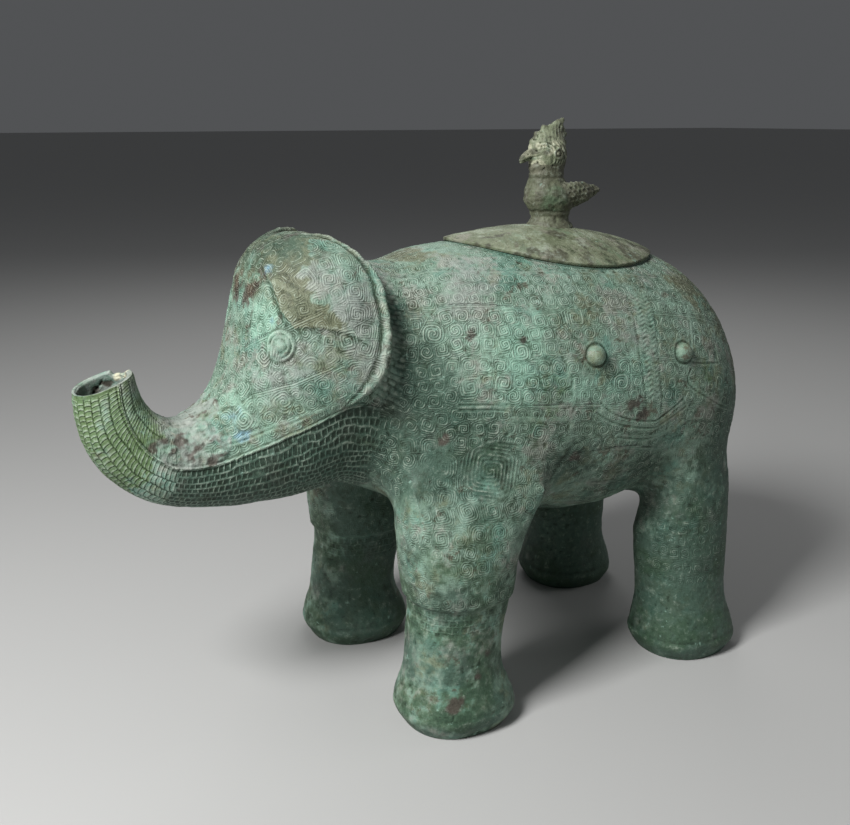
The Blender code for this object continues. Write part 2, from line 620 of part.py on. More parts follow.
def lid_flange(collection):
    """Upright oval wall under the plate, just inside the hole in the back."""
    inset = LID_OVERLAP + FLANGE_CLEARANCE
    rings = []
    for half_length, half_width, drop in (
            (LID_LENGTH / 2.0 - inset, LID_WIDTH / 2.0 - inset, LID_THICKNESS / 2.0),
            (LID_LENGTH / 2.0 - inset, LID_WIDTH / 2.0 - inset, -FLANGE_DEPTH),
            (LID_LENGTH / 2.0 - inset - FLANGE_THICKNESS, LID_WIDTH / 2.0 - inset - FLANGE_THICKNESS,
             -FLANGE_DEPTH),
            (LID_LENGTH / 2.0 - inset - FLANGE_THICKNESS, LID_WIDTH / 2.0 - inset - FLANGE_THICKNESS,
             LID_THICKNESS / 2.0)):
        x, y = oval(half_length, half_width, LID_SIDES)
        rings.append(np.stack([x, y, lid_underside(x, y) + drop], axis=-1))
    ring = np.arange(4 * LID_SIDES).reshape(4, LID_SIDES)
    ahead = np.roll(ring, -1, axis=0)
    faces = np.stack([ring, ahead, np.roll(ahead, -1, axis=1), np.roll(ring, -1, axis=1)], axis=-1)
    return as_tool(add_object("lid_flange", np.concatenate(rings), faces.reshape(-1, 4).tolist(),
                              collection))


def bird_forms(collection):
    """The knob: a crested bird facing the trunk, stacked from level ovals, with tail and beak."""
    unit = BIRD_HEIGHT / BIRD_SCHEME
    base_x = scheme_x(BIRD_X)
    foot_z = float(lid_underside(base_x, 0.0)) + LID_THICKNESS
    turn = stretch(0.0, 2.0 * np.pi, BIRD_SIDES)
    height, mid_x, long, wide = (column[:, None] for column in np.array(BIRD_SECTIONS).T * unit)
    x = base_x + mid_x + long * np.cos(turn)
    y = wide * np.sin(turn)
    z = foot_z + height + 0.0 * x
    z[0] = lid_underside(x[0], y[0]) + LID_THICKNESS / 2.0
    stack = np.stack([x, y, z], axis=-1)
    as_tool(add_object("bird_form", stack.reshape(-1, 3), tube_faces(len(stack), BIRD_SIDES),
                       collection))
    turn = stretch(0.0, 2.0 * np.pi, BIRD_LIMB_SIDES)
    for name, sections, way in (("bird_tail_form", BIRD_TAIL, 1.0), ("bird_beak_form", BIRD_BEAK, -1.0)):
        x, height, tall, wide = (column[:, None] for column in np.array(sections).T * unit)
        limb = np.stack([base_x + x + 0.0 * turn, wide * np.sin(turn) * way,
                         foot_z + height - tall * np.cos(turn)], axis=-1)
        as_tool(add_object(name, limb.reshape(-1, 3), tube_faces(len(limb), BIRD_LIMB_SIDES),
                           collection))


def bronze(name, colour, roughness):
    material = bpy.data.materials.new(name)
    material.use_nodes = True
    shader = material.node_tree.nodes["Principled BSDF"]
    shader.inputs["Base Color"].default_value = colour
    shader.inputs["Roughness"].default_value = roughness
    shader.inputs["Metallic"].default_value = PATINA_METALLIC
    return material


for old in list(bpy.data.objects):
    bpy.data.objects.remove(old)
groups = {}
for group_name in ("elephant_wine_vessel", "vessel_forms", "lid_forms", "cutters"):
    groups[group_name] = bpy.data.collections.new(group_name)
    bpy.context.scene.collection.children.link(groups[group_name])

vessel_points, vessel_faces, _ = half_casting(OUTER_DETAIL, True)
vessel = mirrored(add_object("vessel", vessel_points, vessel_faces, groups["elephant_wine_vessel"]))
relief_forms(groups["vessel_forms"])
boolean(vessel, "UNION", groups["vessel_forms"])
boolean(vessel, "DIFFERENCE", hollow_core(groups["cutters"]))
boolean(vessel, "DIFFERENCE", back_opening(groups["cutters"]))
boolean(vessel, "DIFFERENCE", mouth_chip(groups["cutters"]))
vessel.data.materials.append(bronze("green_patina_bronze", VESSEL_COLOUR, 0.72))

lid = lid_plate(groups["elephant_wine_vessel"])
lid_flange(groups["lid_forms"])
bird_forms(groups["lid_forms"])
boolean(lid, "UNION", groups["lid_forms"])
lid.data.materials.append(bronze("olive_patina_bronze", LID_COLOUR, 0.68))

for casting in (vessel, lid):
    casting.data.shade_smooth()
    casting.data.set_sharp_from_angle(angle=SHARP_ANGLE)
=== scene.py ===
import bpy
import numpy as np
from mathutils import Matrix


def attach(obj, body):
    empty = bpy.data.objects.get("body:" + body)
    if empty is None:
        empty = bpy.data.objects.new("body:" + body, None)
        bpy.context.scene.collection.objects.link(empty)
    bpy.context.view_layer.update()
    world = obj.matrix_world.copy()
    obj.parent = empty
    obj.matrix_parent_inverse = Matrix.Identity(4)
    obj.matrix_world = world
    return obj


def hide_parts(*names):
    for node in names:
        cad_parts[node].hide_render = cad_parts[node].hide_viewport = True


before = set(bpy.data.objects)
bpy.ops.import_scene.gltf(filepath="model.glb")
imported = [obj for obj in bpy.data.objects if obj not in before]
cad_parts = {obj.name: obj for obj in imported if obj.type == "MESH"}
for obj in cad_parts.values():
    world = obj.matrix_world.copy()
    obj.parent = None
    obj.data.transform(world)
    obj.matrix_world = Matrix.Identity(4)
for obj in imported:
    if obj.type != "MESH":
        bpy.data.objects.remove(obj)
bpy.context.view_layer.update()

scene = bpy.context.scene

# The view: the vessel stands on a pale table under soft light, with a large window to the left
# and above, and is seen from its left front, a little above its back.
camera_data = bpy.data.cameras.new("view")
camera_data.lens = 45.563
camera_data.sensor_width = 36.0
camera_data.clip_start = 0.02
camera = bpy.data.objects.new("view", camera_data)
camera.location = (-0.4042, -0.687, 0.427)
camera.rotation_euler = np.radians((74.59, 0.0, -30.15))
scene.collection.objects.link(camera)
scene.camera = camera

FLOOR_REACH = 30.0
floor_mesh = bpy.data.meshes.new("floor")
floor_mesh.from_pydata([(x * FLOOR_REACH, y * FLOOR_REACH, 0.0)
                        for x, y in ((-1, -1), (1, -1), (1, 1), (-1, 1))], [], [(0, 1, 2, 3)])
floor = bpy.data.objects.new("floor", floor_mesh)
scene.collection.objects.link(floor)
floor_paint = bpy.data.materials.new("pale_floor")
floor_paint.use_nodes = True
floor_shader = floor_paint.node_tree.nodes["Principled BSDF"]
floor_shader.inputs["Base Color"].default_value = (0.45, 0.45, 0.44, 1.0)
floor_shader.inputs["Roughness"].default_value = 0.85
floor_mesh.materials.append(floor_paint)

# Each light: where it hangs, what it is turned to, its watts and its width in metres.
for name, place, aim, watts, size in (
        ("window", (-0.98, -0.37, 1.18), (-0.05, 0.0, 0.22), 31.0, 0.45),
        ("side_fill", (1.7, -0.6, 1.0), (0.05, 0.0, 0.2), 3.5, 1.0),
        ("back_light", (0.7, 1.3, 1.5), (0.0, 0.0, 0.25), 6.0, 1.0)):
    light = bpy.data.lights.new(name, "AREA")
    light.energy = watts
    light.size = size
    lamp = bpy.data.objects.new(name, light)
    lamp.location = place
    away = np.array(place) - np.array(aim)
    tilt = np.arctan2(np.hypot(away[0], away[1]), away[2])
    lamp.rotation_euler = (tilt, 0.0, np.arctan2(away[0], -away[1]))
    scene.collection.objects.link(lamp)
world = bpy.data.worlds.new("soft_light")
world.use_nodes = True
sky = world.node_tree.nodes["Background"]
sky.inputs["Color"].default_value = (0.93, 0.96, 1.0, 1.0)
sky.inputs["Strength"].default_value = 0.09
scene.world = world
scene.view_settings.view_transform = "Standard"

# The body's bare form: one bronze casting, drawn as sections from the rump to the trunk's mouth.
# Sizes are millimetres along the fore legs' line, the same that the solid is built from.
SECTIONS = np.array([  # x and z of the top, x and z of the bottom, half width, share of widest height
    (290.5, 212.0, 290.5, 210.0, 0.0, 0.50), (286.0, 243.5, 286.0, 180.0, 40.0, 0.42),
    (274.0, 273.5, 274.0, 153.0, 72.5, 0.37), (255.0, 298.5, 255.0, 137.0, 93.5, 0.37),
    (231.0, 316.0, 231.0, 128.0, 106.5, 0.41), (200.0, 327.0, 200.0, 124.0, 113.0, 0.45),
    (150.0, 335.0, 150.0, 120.0, 114.0, 0.49), (100.0, 338.0, 100.0, 122.0, 112.0, 0.50),
    (50.0, 336.0, 50.0, 129.0, 106.0, 0.50), (18.0, 333.0, 16.0, 139.0, 93.0, 0.50),
    (-12.0, 326.5, -16.0, 150.0, 77.0, 0.49), (-40.0, 333.0, -40.0, 162.0, 65.5, 0.48),
    (-66.0, 348.0, -58.0, 169.0, 64.5, 0.50), (-92.0, 349.5, -74.0, 168.5, 62.5, 0.49),
    (-112.0, 336.0, -89.0, 166.0, 57.5, 0.47), (-121.0, 310.0, -105.0, 164.5, 50.0, 0.47),
    (-128.0, 282.0, -121.0, 164.5, 44.0, 0.46), (-136.5, 259.0, -137.0, 165.0, 38.0, 0.46),
    (-149.0, 241.5, -154.0, 166.5, 33.5, 0.47), (-163.0, 232.5, -171.0, 169.5, 30.5, 0.48),
    (-175.0, 231.0, -188.0, 174.5, 28.5, 0.50), (-184.5, 236.0, -204.0, 183.5, 27.0, 0.50),
    (-191.5, 244.0, -219.0, 197.0, 25.0, 0.50), (-195.5, 253.0, -230.5, 215.5, 23.5, 0.50),
    (-197.5, 261.5, -236.0, 236.5, 21.8, 0.50), (-199.0, 267.5, -237.0, 256.0, 20.5, 0.50)])
MOUTH = len(SECTIONS) - 1.0
MIDDLE_X = 28.2
SQUARENESS = 2.2


def bends(rows):
    """Second differences of the natural cubic spline through rows set at whole numbers."""
    inner = np.arange(1, len(rows) - 1)
    system = np.eye(len(rows))
    system[inner, inner - 1] = system[inner, inner + 1] = 1.0
    system[inner, inner] = 4.0
    right = np.zeros_like(rows)
    right[1:-1] = 6.0 * (rows[2:] - 2.0 * rows[1:-1] + rows[:-2])
    return np.linalg.solve(system, right)


def spline(rows, bend, place):
    """Rows read at places between them: the two rows nearest, each plus its share of the bend."""
    low = np.clip(np.floor(place).astype(int), 0, len(rows) - 2)
    after = (place - low)[..., None]
    before = 1.0 - after
    return (before * rows[low] + after * rows[low + 1]
            + (before ** 3 - before) * bend[low] / 6.0 + (after ** 3 - after) * bend[low + 1] / 6.0)


def power(value, exponent):
    """The value's size raised to the exponent, with its sign kept."""
    return np.sign(value) * np.abs(value) ** exponent


SECTION_BENDS = bends(SECTIONS)


def skin(station, angle):
    """Superellipse of the section at a station, turned by an angle down from the spine."""
    top_x, top_z, low_x, low_z, half, waist = np.moveaxis(spline(SECTIONS, SECTION_BENDS, station), -1, 0)
    mid_x = low_x + (top_x - low_x) * waist
    mid_z = low_z + (top_z - low_z) * waist
    rise = power(np.cos(angle), 2.0 / SQUARENESS)
    reach = power(np.sin(angle), 2.0 / SQUARENESS)
    x = mid_x + np.where(rise > 0.0, top_x - mid_x, mid_x - low_x) * rise
    z = mid_z + np.where(rise > 0.0, top_z - mid_z, mid_z - low_z) * rise
    return np.stack([x - MIDDLE_X, -half * reach, z], axis=-1)


def outward(station, angle, step=1e-3):
    """Unit normal of the skin: the cross product of its differences along and around."""
    angle = np.clip(angle, 2.0 * step, np.pi - 2.0 * step)
    station = np.clip(station, 0.02, MOUTH - 2.0 * step)
    along = skin(station + step, angle) - skin(station - step, angle)
    normal = np.cross(along, skin(station, angle + step) - skin(station, angle - step))
    return normal / np.linalg.norm(normal, axis=-1, keepdims=True)


# The left half of the skin: the body's rings, the ear folded out of them, the trunk and two legs.
# In the casting these are one wall, so they are worked out as one net before it is cut in pieces.
HIND_PATCH = (2.3, 5.5)
FORE_PATCH = (7.2, 10.9)
PATCH_OUTER, PATCH_INNER = np.radians((104.0, 160.0))
EAR_MIDDLE, EAR_HALF_ANGLE = np.radians((56.0, 47.0))
EAR_STATION, EAR_SEAM, EAR_ROOT, EAR_NECK = 11.25, 12.75, 14.6, 8.5
EAR_UNDERCUT, EDGE_HALF, EAR_ROUNDING = 0.55, 0.05, 0.10
EAR_LIFT, EAR_THICKNESS = 14.0, 5.0
TRUNK_START = 17.0
# Legs: height, x and y of the centre, half length and half width as shares of half the foot.
FORE_LEG = np.array([
    (118.0, 4.5, 79.0, 0.925, 0.850), (90.0, 3.5, 80.0, 0.836, 0.801), (74.0, 1.0, 80.5, 0.806, 0.778),
    (56.0, -1.0, 81.5, 0.798, 0.775), (40.0, -1.5, 82.0, 0.826, 0.808), (25.0, -0.5, 82.0, 0.953, 0.917),
    (14.0, 0.0, 82.0, 1.000, 0.965), (6.0, 0.0, 82.0, 0.942, 0.905), (0.0, 0.0, 82.0, 0.860, 0.823)])
HIND_LEG = np.array([
    (112.0, 219.5, 77.0, 0.880, 0.850), (84.0, 220.5, 77.5, 0.876, 0.828), (56.0, 221.5, 78.5, 0.854, 0.813),
    (40.0, 223.0, 79.5, 0.875, 0.841), (25.0, 224.5, 80.0, 0.960, 0.925), (14.0, 225.0, 80.0, 1.000, 0.965),
    (6.0, 225.0, 80.0, 0.947, 0.908), (0.0, 225.0, 80.0, 0.868, 0.830)])
FORE_FOOT, HIND_FOOT = 86.5, 83.5
LEG_SQUARENESS = 2.25
KNEE_HEIGHT, KNEE_EDGE, KNEE_RIDGE = 97.0, 0.9, 2.5
JOINT_REACH = 30.0


def stretch(start, end, count):
    """Evenly spaced numbers from start up to end, without end."""
    return np.linspace(start, end, count, endpoint=False)


def ease(value, low, high):
    """Rises smoothly from 0 at low to 1 at high."""
    t = np.clip((value - low) / (high - low), 0.0, 1.0)
    return t * t * (3.0 - 2.0 * t)


def ear_sweep(angle, away):
    """How far the ear's edge swings forward, in stations: a power of the way from its middle."""
    return np.where(angle < EAR_MIDDLE, 1.9 * away ** 2.6, 1.5 * away ** 3.5)


def body_net(rings, fold, face, columns, with_ear):
    """Stations, angles and lifts of the body's rings. At the ear they run forward under the flap,
    back along its rear face, round its edge and forward over its front."""
    upper, middle, lower = columns
    angle = np.concatenate([stretch(0.0, PATCH_OUTER, upper), stretch(PATCH_OUTER, PATCH_INNER, middle),
                            np.linspace(PATCH_INNER, np.pi, lower + 1)])[None, :]
    stops = (0.5,) + HIND_PATCH + FORE_PATCH + (EAR_SEAM,)
    rear = np.concatenate([stretch(*span) for span in zip(stops[:-1], stops[1:], rings)])[:, None]
    along_ear = (angle - EAR_MIDDLE) / EAR_HALF_ANGLE
    away = np.clip(np.abs(along_ear), 0.0, 1.0)
    share = (1.0 - away ** np.where(along_ear < 0.0, 2, 4)) * float(with_ear)
    edge = EAR_STATION + ear_sweep(angle, away)
    seam = edge - EDGE_HALF + share * EAR_UNDERCUT
    moved = EAR_NECK + (rear - EAR_NECK) / (EAR_SEAM - EAR_NECK) * (seam - EAR_NECK)
    stations = [np.where(rear < EAR_NECK, rear + 0.0 * angle, moved)]
    lifts = [0.0 * stations[0]]
    edge = edge + 0.25 * (1.0 - share) ** 4
    half = EDGE_HALF + 0.25 * (1.0 - share) ** 4
    rear_lift = EAR_LIFT - EAR_THICKNESS
    back, rim, front = (stretch(0.0, 1.0, count)[:, None] for count in fold)
    stations.append(seam + (edge - seam) * back)
    lifts.append(share * rear_lift * back ** 0.8)
    stations.append(edge + half * rim - EAR_ROUNDING * share * np.sin(np.pi * rim))
    lifts.append(share * (rear_lift + EAR_THICKNESS * rim))
    stations.append(edge + half + (EAR_ROOT - edge - half) * front)
    lifts.append(share * EAR_LIFT * (1.0 - front) ** 1.6)
    stations.append(np.linspace(EAR_ROOT, TRUNK_START, face + 1)[:, None] + 0.0 * angle)
    lifts.append(0.0 * stations[-1])
    return np.vstack(stations), angle[0], np.vstack(lifts)


def leg_rings(table, foot, turn, heights, sleeved):
    """Superellipses going down a leg, read from the spline through its table. The sleeve over a
    fore knee is a step of the radius."""
    fine = spline(table, bends(table), np.linspace(0.0, len(table) - 1.0, 900))
    place = [np.interp(-heights, -fine[:, 0], column)[:, None] for column in fine.T]
    _, mid_x, mid_y, length_share, width_share = place
    sleeve = KNEE_RIDGE * sleeved * ease(heights[:, None], KNEE_HEIGHT - KNEE_EDGE, KNEE_HEIGHT + KNEE_EDGE)
    x = mid_x - MIDDLE_X + (length_share * foot / 2.0 + sleeve) * power(np.cos(turn), 2.0 / LEG_SQUARENESS)
    y = mid_y + (width_share * foot / 2.0 + sleeve) * power(np.sin(turn), 2.0 / LEG_SQUARENESS)
    return np.stack([x, -y, heights[:, None] + 0.0 * x], axis=-1)


def patch_rim(rows, columns):
    """Rim of a leg's patch, from its rear outer corner forward and round: rows, columns, steps to
    the neighbour outside, and the turn of the leg's section that each point goes to."""
    (row_0, row_1), (column_0, column_1) = rows, columns
    long, short = row_1 - row_0, column_1 - column_0
    row = np.concatenate([np.arange(row_0, row_1), np.full(short, row_1),
                          np.arange(row_1, row_0, -1), np.full(short, row_0)])
    column = np.concatenate([np.full(long, column_0), np.arange(column_0, column_1),
                             np.full(long, column_1), np.arange(column_1, column_0, -1)])
    corners = np.radians((45.0, 135.0, 225.0, 315.0, 405.0))
    turn = np.concatenate([stretch(a, b, n) for a, b, n
                           in zip(corners[:-1], corners[1:], (long, short, long, short))])
    row_step = np.where(row == row_1, 1, 0) - np.where(row == row_0, 1, 0)
    column_step = np.where(column == column_1, 1, 0) - np.where(column == column_0, 1, 0)
    return row, column, row_step, column_step, turn


def rounded(loop, width):
    """A closed loop of vectors smoothed round: each of its waves is damped, the shorter the more."""
    waves = np.fft.rfft(loop, axis=0)
    damp = np.exp(-2.0 * (np.pi * width * np.arange(len(waves)) / len(loop)) ** 2)
    return np.fft.irfft(waves * damp[:, None], len(loop), axis=0)


def settled(points, faces, weight, rounds):
    """Moves points towards the mean of their neighbours, by their weights, in some rounds."""
    sides = np.concatenate([np.stack([face, np.roll(face, -1, axis=1)], axis=-1).reshape(-1, 2)
                            for face in faces])
    sides = np.unique(np.sort(sides, axis=1), axis=0)
    pairs = np.concatenate([sides, sides[:, ::-1]])
    pairs = pairs[np.argsort(pairs[:, 0], kind="stable")]
    count = np.bincount(pairs[:, 0], minlength=len(points))
    start = np.cumsum(count) - count
    moving = np.flatnonzero((weight > 0.0) & (count < 10))
    slots = np.arange(count[moving].max())[None, :]
    real = slots < count[moving][:, None]
    others = pairs[start[moving][:, None] + np.where(real, slots, 0), 1]
    share = (real / count[moving][:, None])[..., None]
    pull = weight[moving][:, None]
    points = points.copy()
    for _ in range(rounds):
        points[moving] += pull * ((points[others] * share).sum(axis=1) - points[moving])
    return points


def half_shell(rings, fold, face, trunk, columns, joint, leg, rounds, with_ear=True):
    """Points, quads and triangles of the left half, with the station, angle and part of each point.

    Parts: 0 body, 1 head, 2 trunk, 3 legs' joints, 4 legs, 5 soles. Faces come as quads and
    triangles, each with the piece it goes to: 0 body, 1 legs, 2 head and trunk.
    """
    station, angle, lift = body_net(rings, fold, face, columns, with_ear)
    around = angle[None, :] + 0.0 * station
    net = skin(station, around) + outward(station, around) * lift[..., None]
    net[:, [0, -1], 1] = 0.0
    rows, wide = net.shape[:2]
    index = np.arange(rows * wide).reshape(rows, wide)
    seam_row = sum(rings)
    part = np.where(np.arange(rows) < seam_row, 0, 1)[:, None] + 0 * index
    quads = [np.stack([index[:-1, :-1], index[1:, :-1], index[1:, 1:], index[:-1, 1:]], axis=-1)]
    piece = np.where(np.arange(rows - 1) < seam_row, 0, 2)[:, None] + 0 * quads[0][..., 0]
    kept = np.ones(piece.shape, dtype=bool)
    points, parts = [net.reshape(-1, 3)], [part.ravel()]
    stations, angles = [station.ravel()], [around.ravel()]
    triangles, quad_piece, triangle_piece = [], [], []
    total = rows * wide

    def add(new, at_station, at_angle, name):
        """Puts new points on the end of the lists, and gives their numbers."""
        nonlocal total
        points.append(new.reshape(-1, 3))
        stations.append(np.broadcast_to(at_station, new.shape[:-1]).ravel())
        angles.append(np.broadcast_to(at_angle, new.shape[:-1]).ravel())
        parts.append(np.full(stations[-1].shape, name))
        total += len(points[-1])
        return np.arange(total - len(points[-1]), total).reshape(new.shape[:-1])

    # Trunk: every second column goes on from the last ring of the face.
    run = np.linspace(TRUNK_START, MOUTH, trunk + 1)[1:, None]
    trunk_net = skin(run + 0.0 * angle[::2], angle[None, ::2] + 0.0 * run)
    trunk_net[:, [0, -1], 1] = 0.0
    trunk_index = add(trunk_net, run, angle[None, ::2], 2)
    a, b, c = index[-1, :-2:2], index[-1, 1:-1:2], index[-1, 2::2]
    p, q = trunk_index[0, :-1], trunk_index[0, 1:]
    triangles.append(np.concatenate([np.stack(t, axis=-1) for t in ((a, p, b), (b, p, q), (b, q, c))]))
    triangle_piece.append(np.full(3 * len(p), 2))
    walls = np.stack([trunk_index[:-1, :-1], trunk_index[1:, :-1], trunk_index[1:, 1:],
                      trunk_index[:-1, 1:]], axis=-1).reshape(-1, 4)
    more_quads, more_piece = [walls], [np.full(len(walls), 2)]

    # Legs: each joint is a Hermite blend from its patch's rim to the leg's first ring.
    rims = []
    marks = np.cumsum(rings)
    patch_columns = (columns[0], columns[0] + columns[1])
    for patch_rows, table, foot, swell, sleeved in (
            ((marks[0], marks[1]), HIND_LEG, HIND_FOOT, (0.0, 1.0), 0.0),
            ((marks[2], marks[3]), FORE_LEG, FORE_FOOT, (10.0, 1.0), float(with_ear))):
        kept[patch_rows[0]:patch_rows[1], patch_columns[0]:patch_columns[1]] = False
        row, column, row_step, column_step, turn = patch_rim(patch_rows, patch_columns)
        rims.append(net[row, column])
        loop = index[row, column]
        leave = net[row, column] - net[row + row_step, column + column_step]
        start, leave, turn = rims[-1][::2], leave[::2], turn[::2]
        leave = rounded(leave / np.linalg.norm(leave, axis=-1, keepdims=True), len(leave) / 16.0)
        leave = leave / np.linalg.norm(leave, axis=-1, keepdims=True)
        heights = np.concatenate([stretch(table[0, 0], 26.0, leg), np.linspace(26.0, 0.0, leg // 3)])
        tube = leg_rings(table, foot, turn, heights, sleeved)
        meet = tube[1] - tube[0]
        meet = meet / np.linalg.norm(meet, axis=-1, keepdims=True)
        reach = np.linalg.norm(tube[0] - start, axis=-1, keepdims=True)
        t = stretch(0.0, 1.0, joint)[1:, None, None]
        forward = np.clip(-np.cos(turn), 0.0, 1.0) * np.clip(0.5 + np.sin(turn), 0.0, 1.0)
        outer = np.clip(np.sin(turn), 0.0, 1.0)
        bulge = np.stack([-swell[0] * forward, -swell[1] * outer, 0.0 * turn], axis=-1)
        blend = ((2 * t ** 3 - 3 * t ** 2 + 1) * start + (t ** 3 - 2 * t ** 2 + t) * leave * reach * 0.8
                 + (3 * t ** 2 - 2 * t ** 3) * tube[0] + (t ** 3 - t ** 2) * meet * reach
                 + bulge * np.sin(np.pi * t) ** 2)
        middle = tube[-1].mean(axis=0)
        sole = middle + (tube[-1] - middle) * np.array([0.8, 0.5, 0.2])[:, None, None]
        joint_index = add(blend, -1.0, turn, 3)
        leg_index = add(tube, -1.0, turn, 4)
        sole_index = add(sole, -1.0, turn, 5)
        centre = add(middle[None], -1.0, 0.0, 5)
        below = np.concatenate([joint_index, leg_index, sole_index])
        a, b, c = loop[::2], loop[1::2], np.roll(loop, -2)[::2]
        p, q = below[0], np.roll(below[0], -1)
        last = below[-1]
        triangles.append(np.concatenate([np.stack(three, axis=-1) for three in
                                         ((a, b, p), (b, q, p), (b, c, q),
                                          (last, np.roll(last, -1), np.full(len(last), centre[0])))]))
        triangle_piece.append(np.full(len(triangles[-1]), 1))
        on = np.roll(below, -1, axis=1)
        more_quads.append(np.stack([below[:-1], on[:-1], on[1:], below[1:]], axis=-1).reshape(-1, 4))
        more_piece.append(np.full(len(more_quads[-1]), 1))
    pole = add(skin(np.array(0.0), np.array(0.0))[None], 0.0, 0.0, 0)
    triangles.append(np.stack([np.full(wide - 1, pole[0]), index[0, :-1], index[0, 1:]], axis=-1))
    triangle_piece.append(np.zeros(wide - 1, dtype=int))

    # Unused points go, and the skin round the legs' joints is settled.
    quads = np.concatenate([quads[0][kept]] + more_quads)
    quad_piece = np.concatenate([piece[kept]] + more_piece)
    triangles = np.concatenate(triangles)
    used = np.unique(np.concatenate([quads.ravel(), triangles.ravel()]))
    number = np.zeros(total, dtype=int)
    number[used] = np.arange(len(used))
    points, station, angle, part = (np.concatenate(each)[used] for each in (points, stations, angles, parts))
    quads, triangles = number[quads], number[triangles]
    rims = np.concatenate(rims)[::3]
    close = np.flatnonzero((points[:, 2] < 235.0) & (part != 2))
    gap = np.full(len(points), 1e3)
    for run in np.array_split(close, 1 + len(close) // 20000):
        gap[run] = np.sqrt(((points[run, None] - rims[None]) ** 2).sum(axis=-1).min(axis=1))
    near = np.clip(1.0 - gap / JOINT_REACH, 0.0, 1.0)
    at_ear = (points[:, 0] < -15.0 - MIDDLE_X) & (points[:, 2] > 225.0)
    on_plane = points[:, 1] == 0.0
    points = settled(points, (quads, triangles), np.where(at_ear, 0.0, near) * 0.6, rounds)
    points[on_plane, 1] = 0.0
    return points, quads, triangles, quad_piece, np.concatenate(triangle_piece), station, angle, part, near


def normals_of(points, quads, triangles):
    """Each point's normal: the sum of its faces' normals, weighted by area."""
    total = np.zeros_like(points)
    for face in (quads, triangles):
        first, second, third, last = (points[face[:, corner]] for corner in (0, 1, 2, -1))
        normal = np.cross(third - first, last - second)
        for corner in face.T:
            for axis in range(3):
                total[:, axis] += np.bincount(corner, normal[:, axis], len(points))
    return total / np.maximum(np.linalg.norm(total, axis=1, keepdims=True), 1e-9)


points, quads, triangles, quad_piece, triangle_piece, station, angle, part, near = half_shell(
    rings=(60, 118, 78, 100, 26), fold=(12, 6, 58), face=28, trunk=200, columns=(190, 64, 16),
    joint=46, leg=66, rounds=1100)
bare_normals = normals_of(points, quads, triangles)
bare_normals[points[:, 1] == 0.0, 1] = 0.0
bare_normals /= np.maximum(np.linalg.norm(bare_normals, axis=1, keepdims=True), 1e-9)

# The cast surface: spirals cut in the mould all over, scales on the trunk and under the chin, lines
# that mark the ears, a saddle cloth and the knees, and the bosses, eyes and tail raised from it.
chance = np.random.default_rng(7)
degrees = np.degrees(angle)
height = points[:, 2]
on_net = part <= 2
behind = part == 0
on_leg = (part == 3) | (part == 4)
HIND_START = 60.0
hind = points[:, 0] > HIND_START
NOWHERE = 99.0
LATTICE = 23


def cloud(at, size, seed):
    """Smooth random field from -1 to 1: values on a lattice, eased between its eight corners."""
    values = np.random.default_rng(seed).uniform(-1.0, 1.0, (LATTICE, LATTICE, LATTICE))
    place = at / size
    low = np.floor(place).astype(int)
    t = place - low
    t = t * t * (3.0 - 2.0 * t)
    total = 0.0
    for corner in np.ndindex(2, 2, 2):
        weight = np.prod(np.where(corner, t, 1.0 - t), axis=-1)
        x, y, z = ((low + corner) % LATTICE).T
        total = total + weight * values[x, y, z]
    return total


def to_line(places, count=120):
    """Distance of each point from a curve on the skin through places given as station, degrees."""
    path = np.array(places, dtype=float)
    along = np.linspace(0.0, len(path) - 1.0, count)
    path = spline(path, bends(path), along)
    curve = skin(path[:, 0], np.radians(path[:, 1]))
    low, high = curve.min(axis=0) - 9.0, curve.max(axis=0) + 9.0
    close = np.flatnonzero(((points > low) & (points < high)).all(axis=1) & (part < 5))
    gap = np.full(len(points), NOWHERE)
    start, run = curve[:-1], np.diff(curve, axis=0)
    for chunk in np.array_split(close, 1 + len(close) // 4000):
        off = points[chunk, None] - start[None]
        share = np.clip((off * run).sum(-1) / (run * run).sum(-1), 0.0, 1.0)
        gap[chunk] = np.sqrt(((off - share[..., None] * run) ** 2).sum(-1).min(axis=1))
    return gap


def from_spot(at_station, at_degrees):
    """Distance of each point from a place on the skin, and the same across the skin alone."""
    middle = skin(np.array(at_station), np.radians(at_degrees))
    normal = outward(np.array(at_station), np.radians(at_degrees))
    off = points - middle
    up = off @ normal
    return np.sqrt((off ** 2).sum(axis=1)), np.sqrt(np.maximum((off ** 2).sum(axis=1) - up ** 2, 0.0))


def ridge(distance, half_width):
    """A rounded ridge's share: the bell curve of the distance over the half width."""
    return np.exp(-(distance / half_width) ** 2)


def unrolled(at_station, at_degrees, base_line):
    """Millimetres along the skin from station 10, and up it from a base line, both summed over a
    fine table of the skin and read between its entries."""
    stations, angles = np.linspace(0.02, MOUTH, 500), np.linspace(0.0, np.pi, 160)
    table = skin(stations[:, None] + 0.0 * angles, angles + 0.0 * stations[:, None])
    along = np.cumsum(np.linalg.norm(np.diff(table, axis=0, prepend=table[:1]), axis=-1), axis=0)
    around = np.cumsum(np.linalg.norm(np.diff(table, axis=1, prepend=table[:, :1]), axis=-1), axis=1)
    base = np.radians(np.interp(stations, *base_line.T))
    level = np.array([np.interp(at, angles, row) for at, row in zip(base, around)])
    sums = np.stack([along - along[200], level[:, None] - around], axis=-1)
    i = np.clip((at_station - stations[0]) / (stations[1] - stations[0]), 0.0, 498.99)
    j = np.clip(np.radians(at_degrees) / (angles[1] - angles[0]), 0.0, 158.99)
    low_i, low_j = i.astype(int), j.astype(int)
    s, t = (i - low_i)[:, None], (j - low_j)[:, None]
    read = ((sums[low_i, low_j] * (1.0 - s) + sums[low_i + 1, low_j] * s) * (1.0 - t)
            + (sums[low_i, low_j + 1] * (1.0 - s) + sums[low_i + 1, low_j + 1] * s) * t)
    return read.T


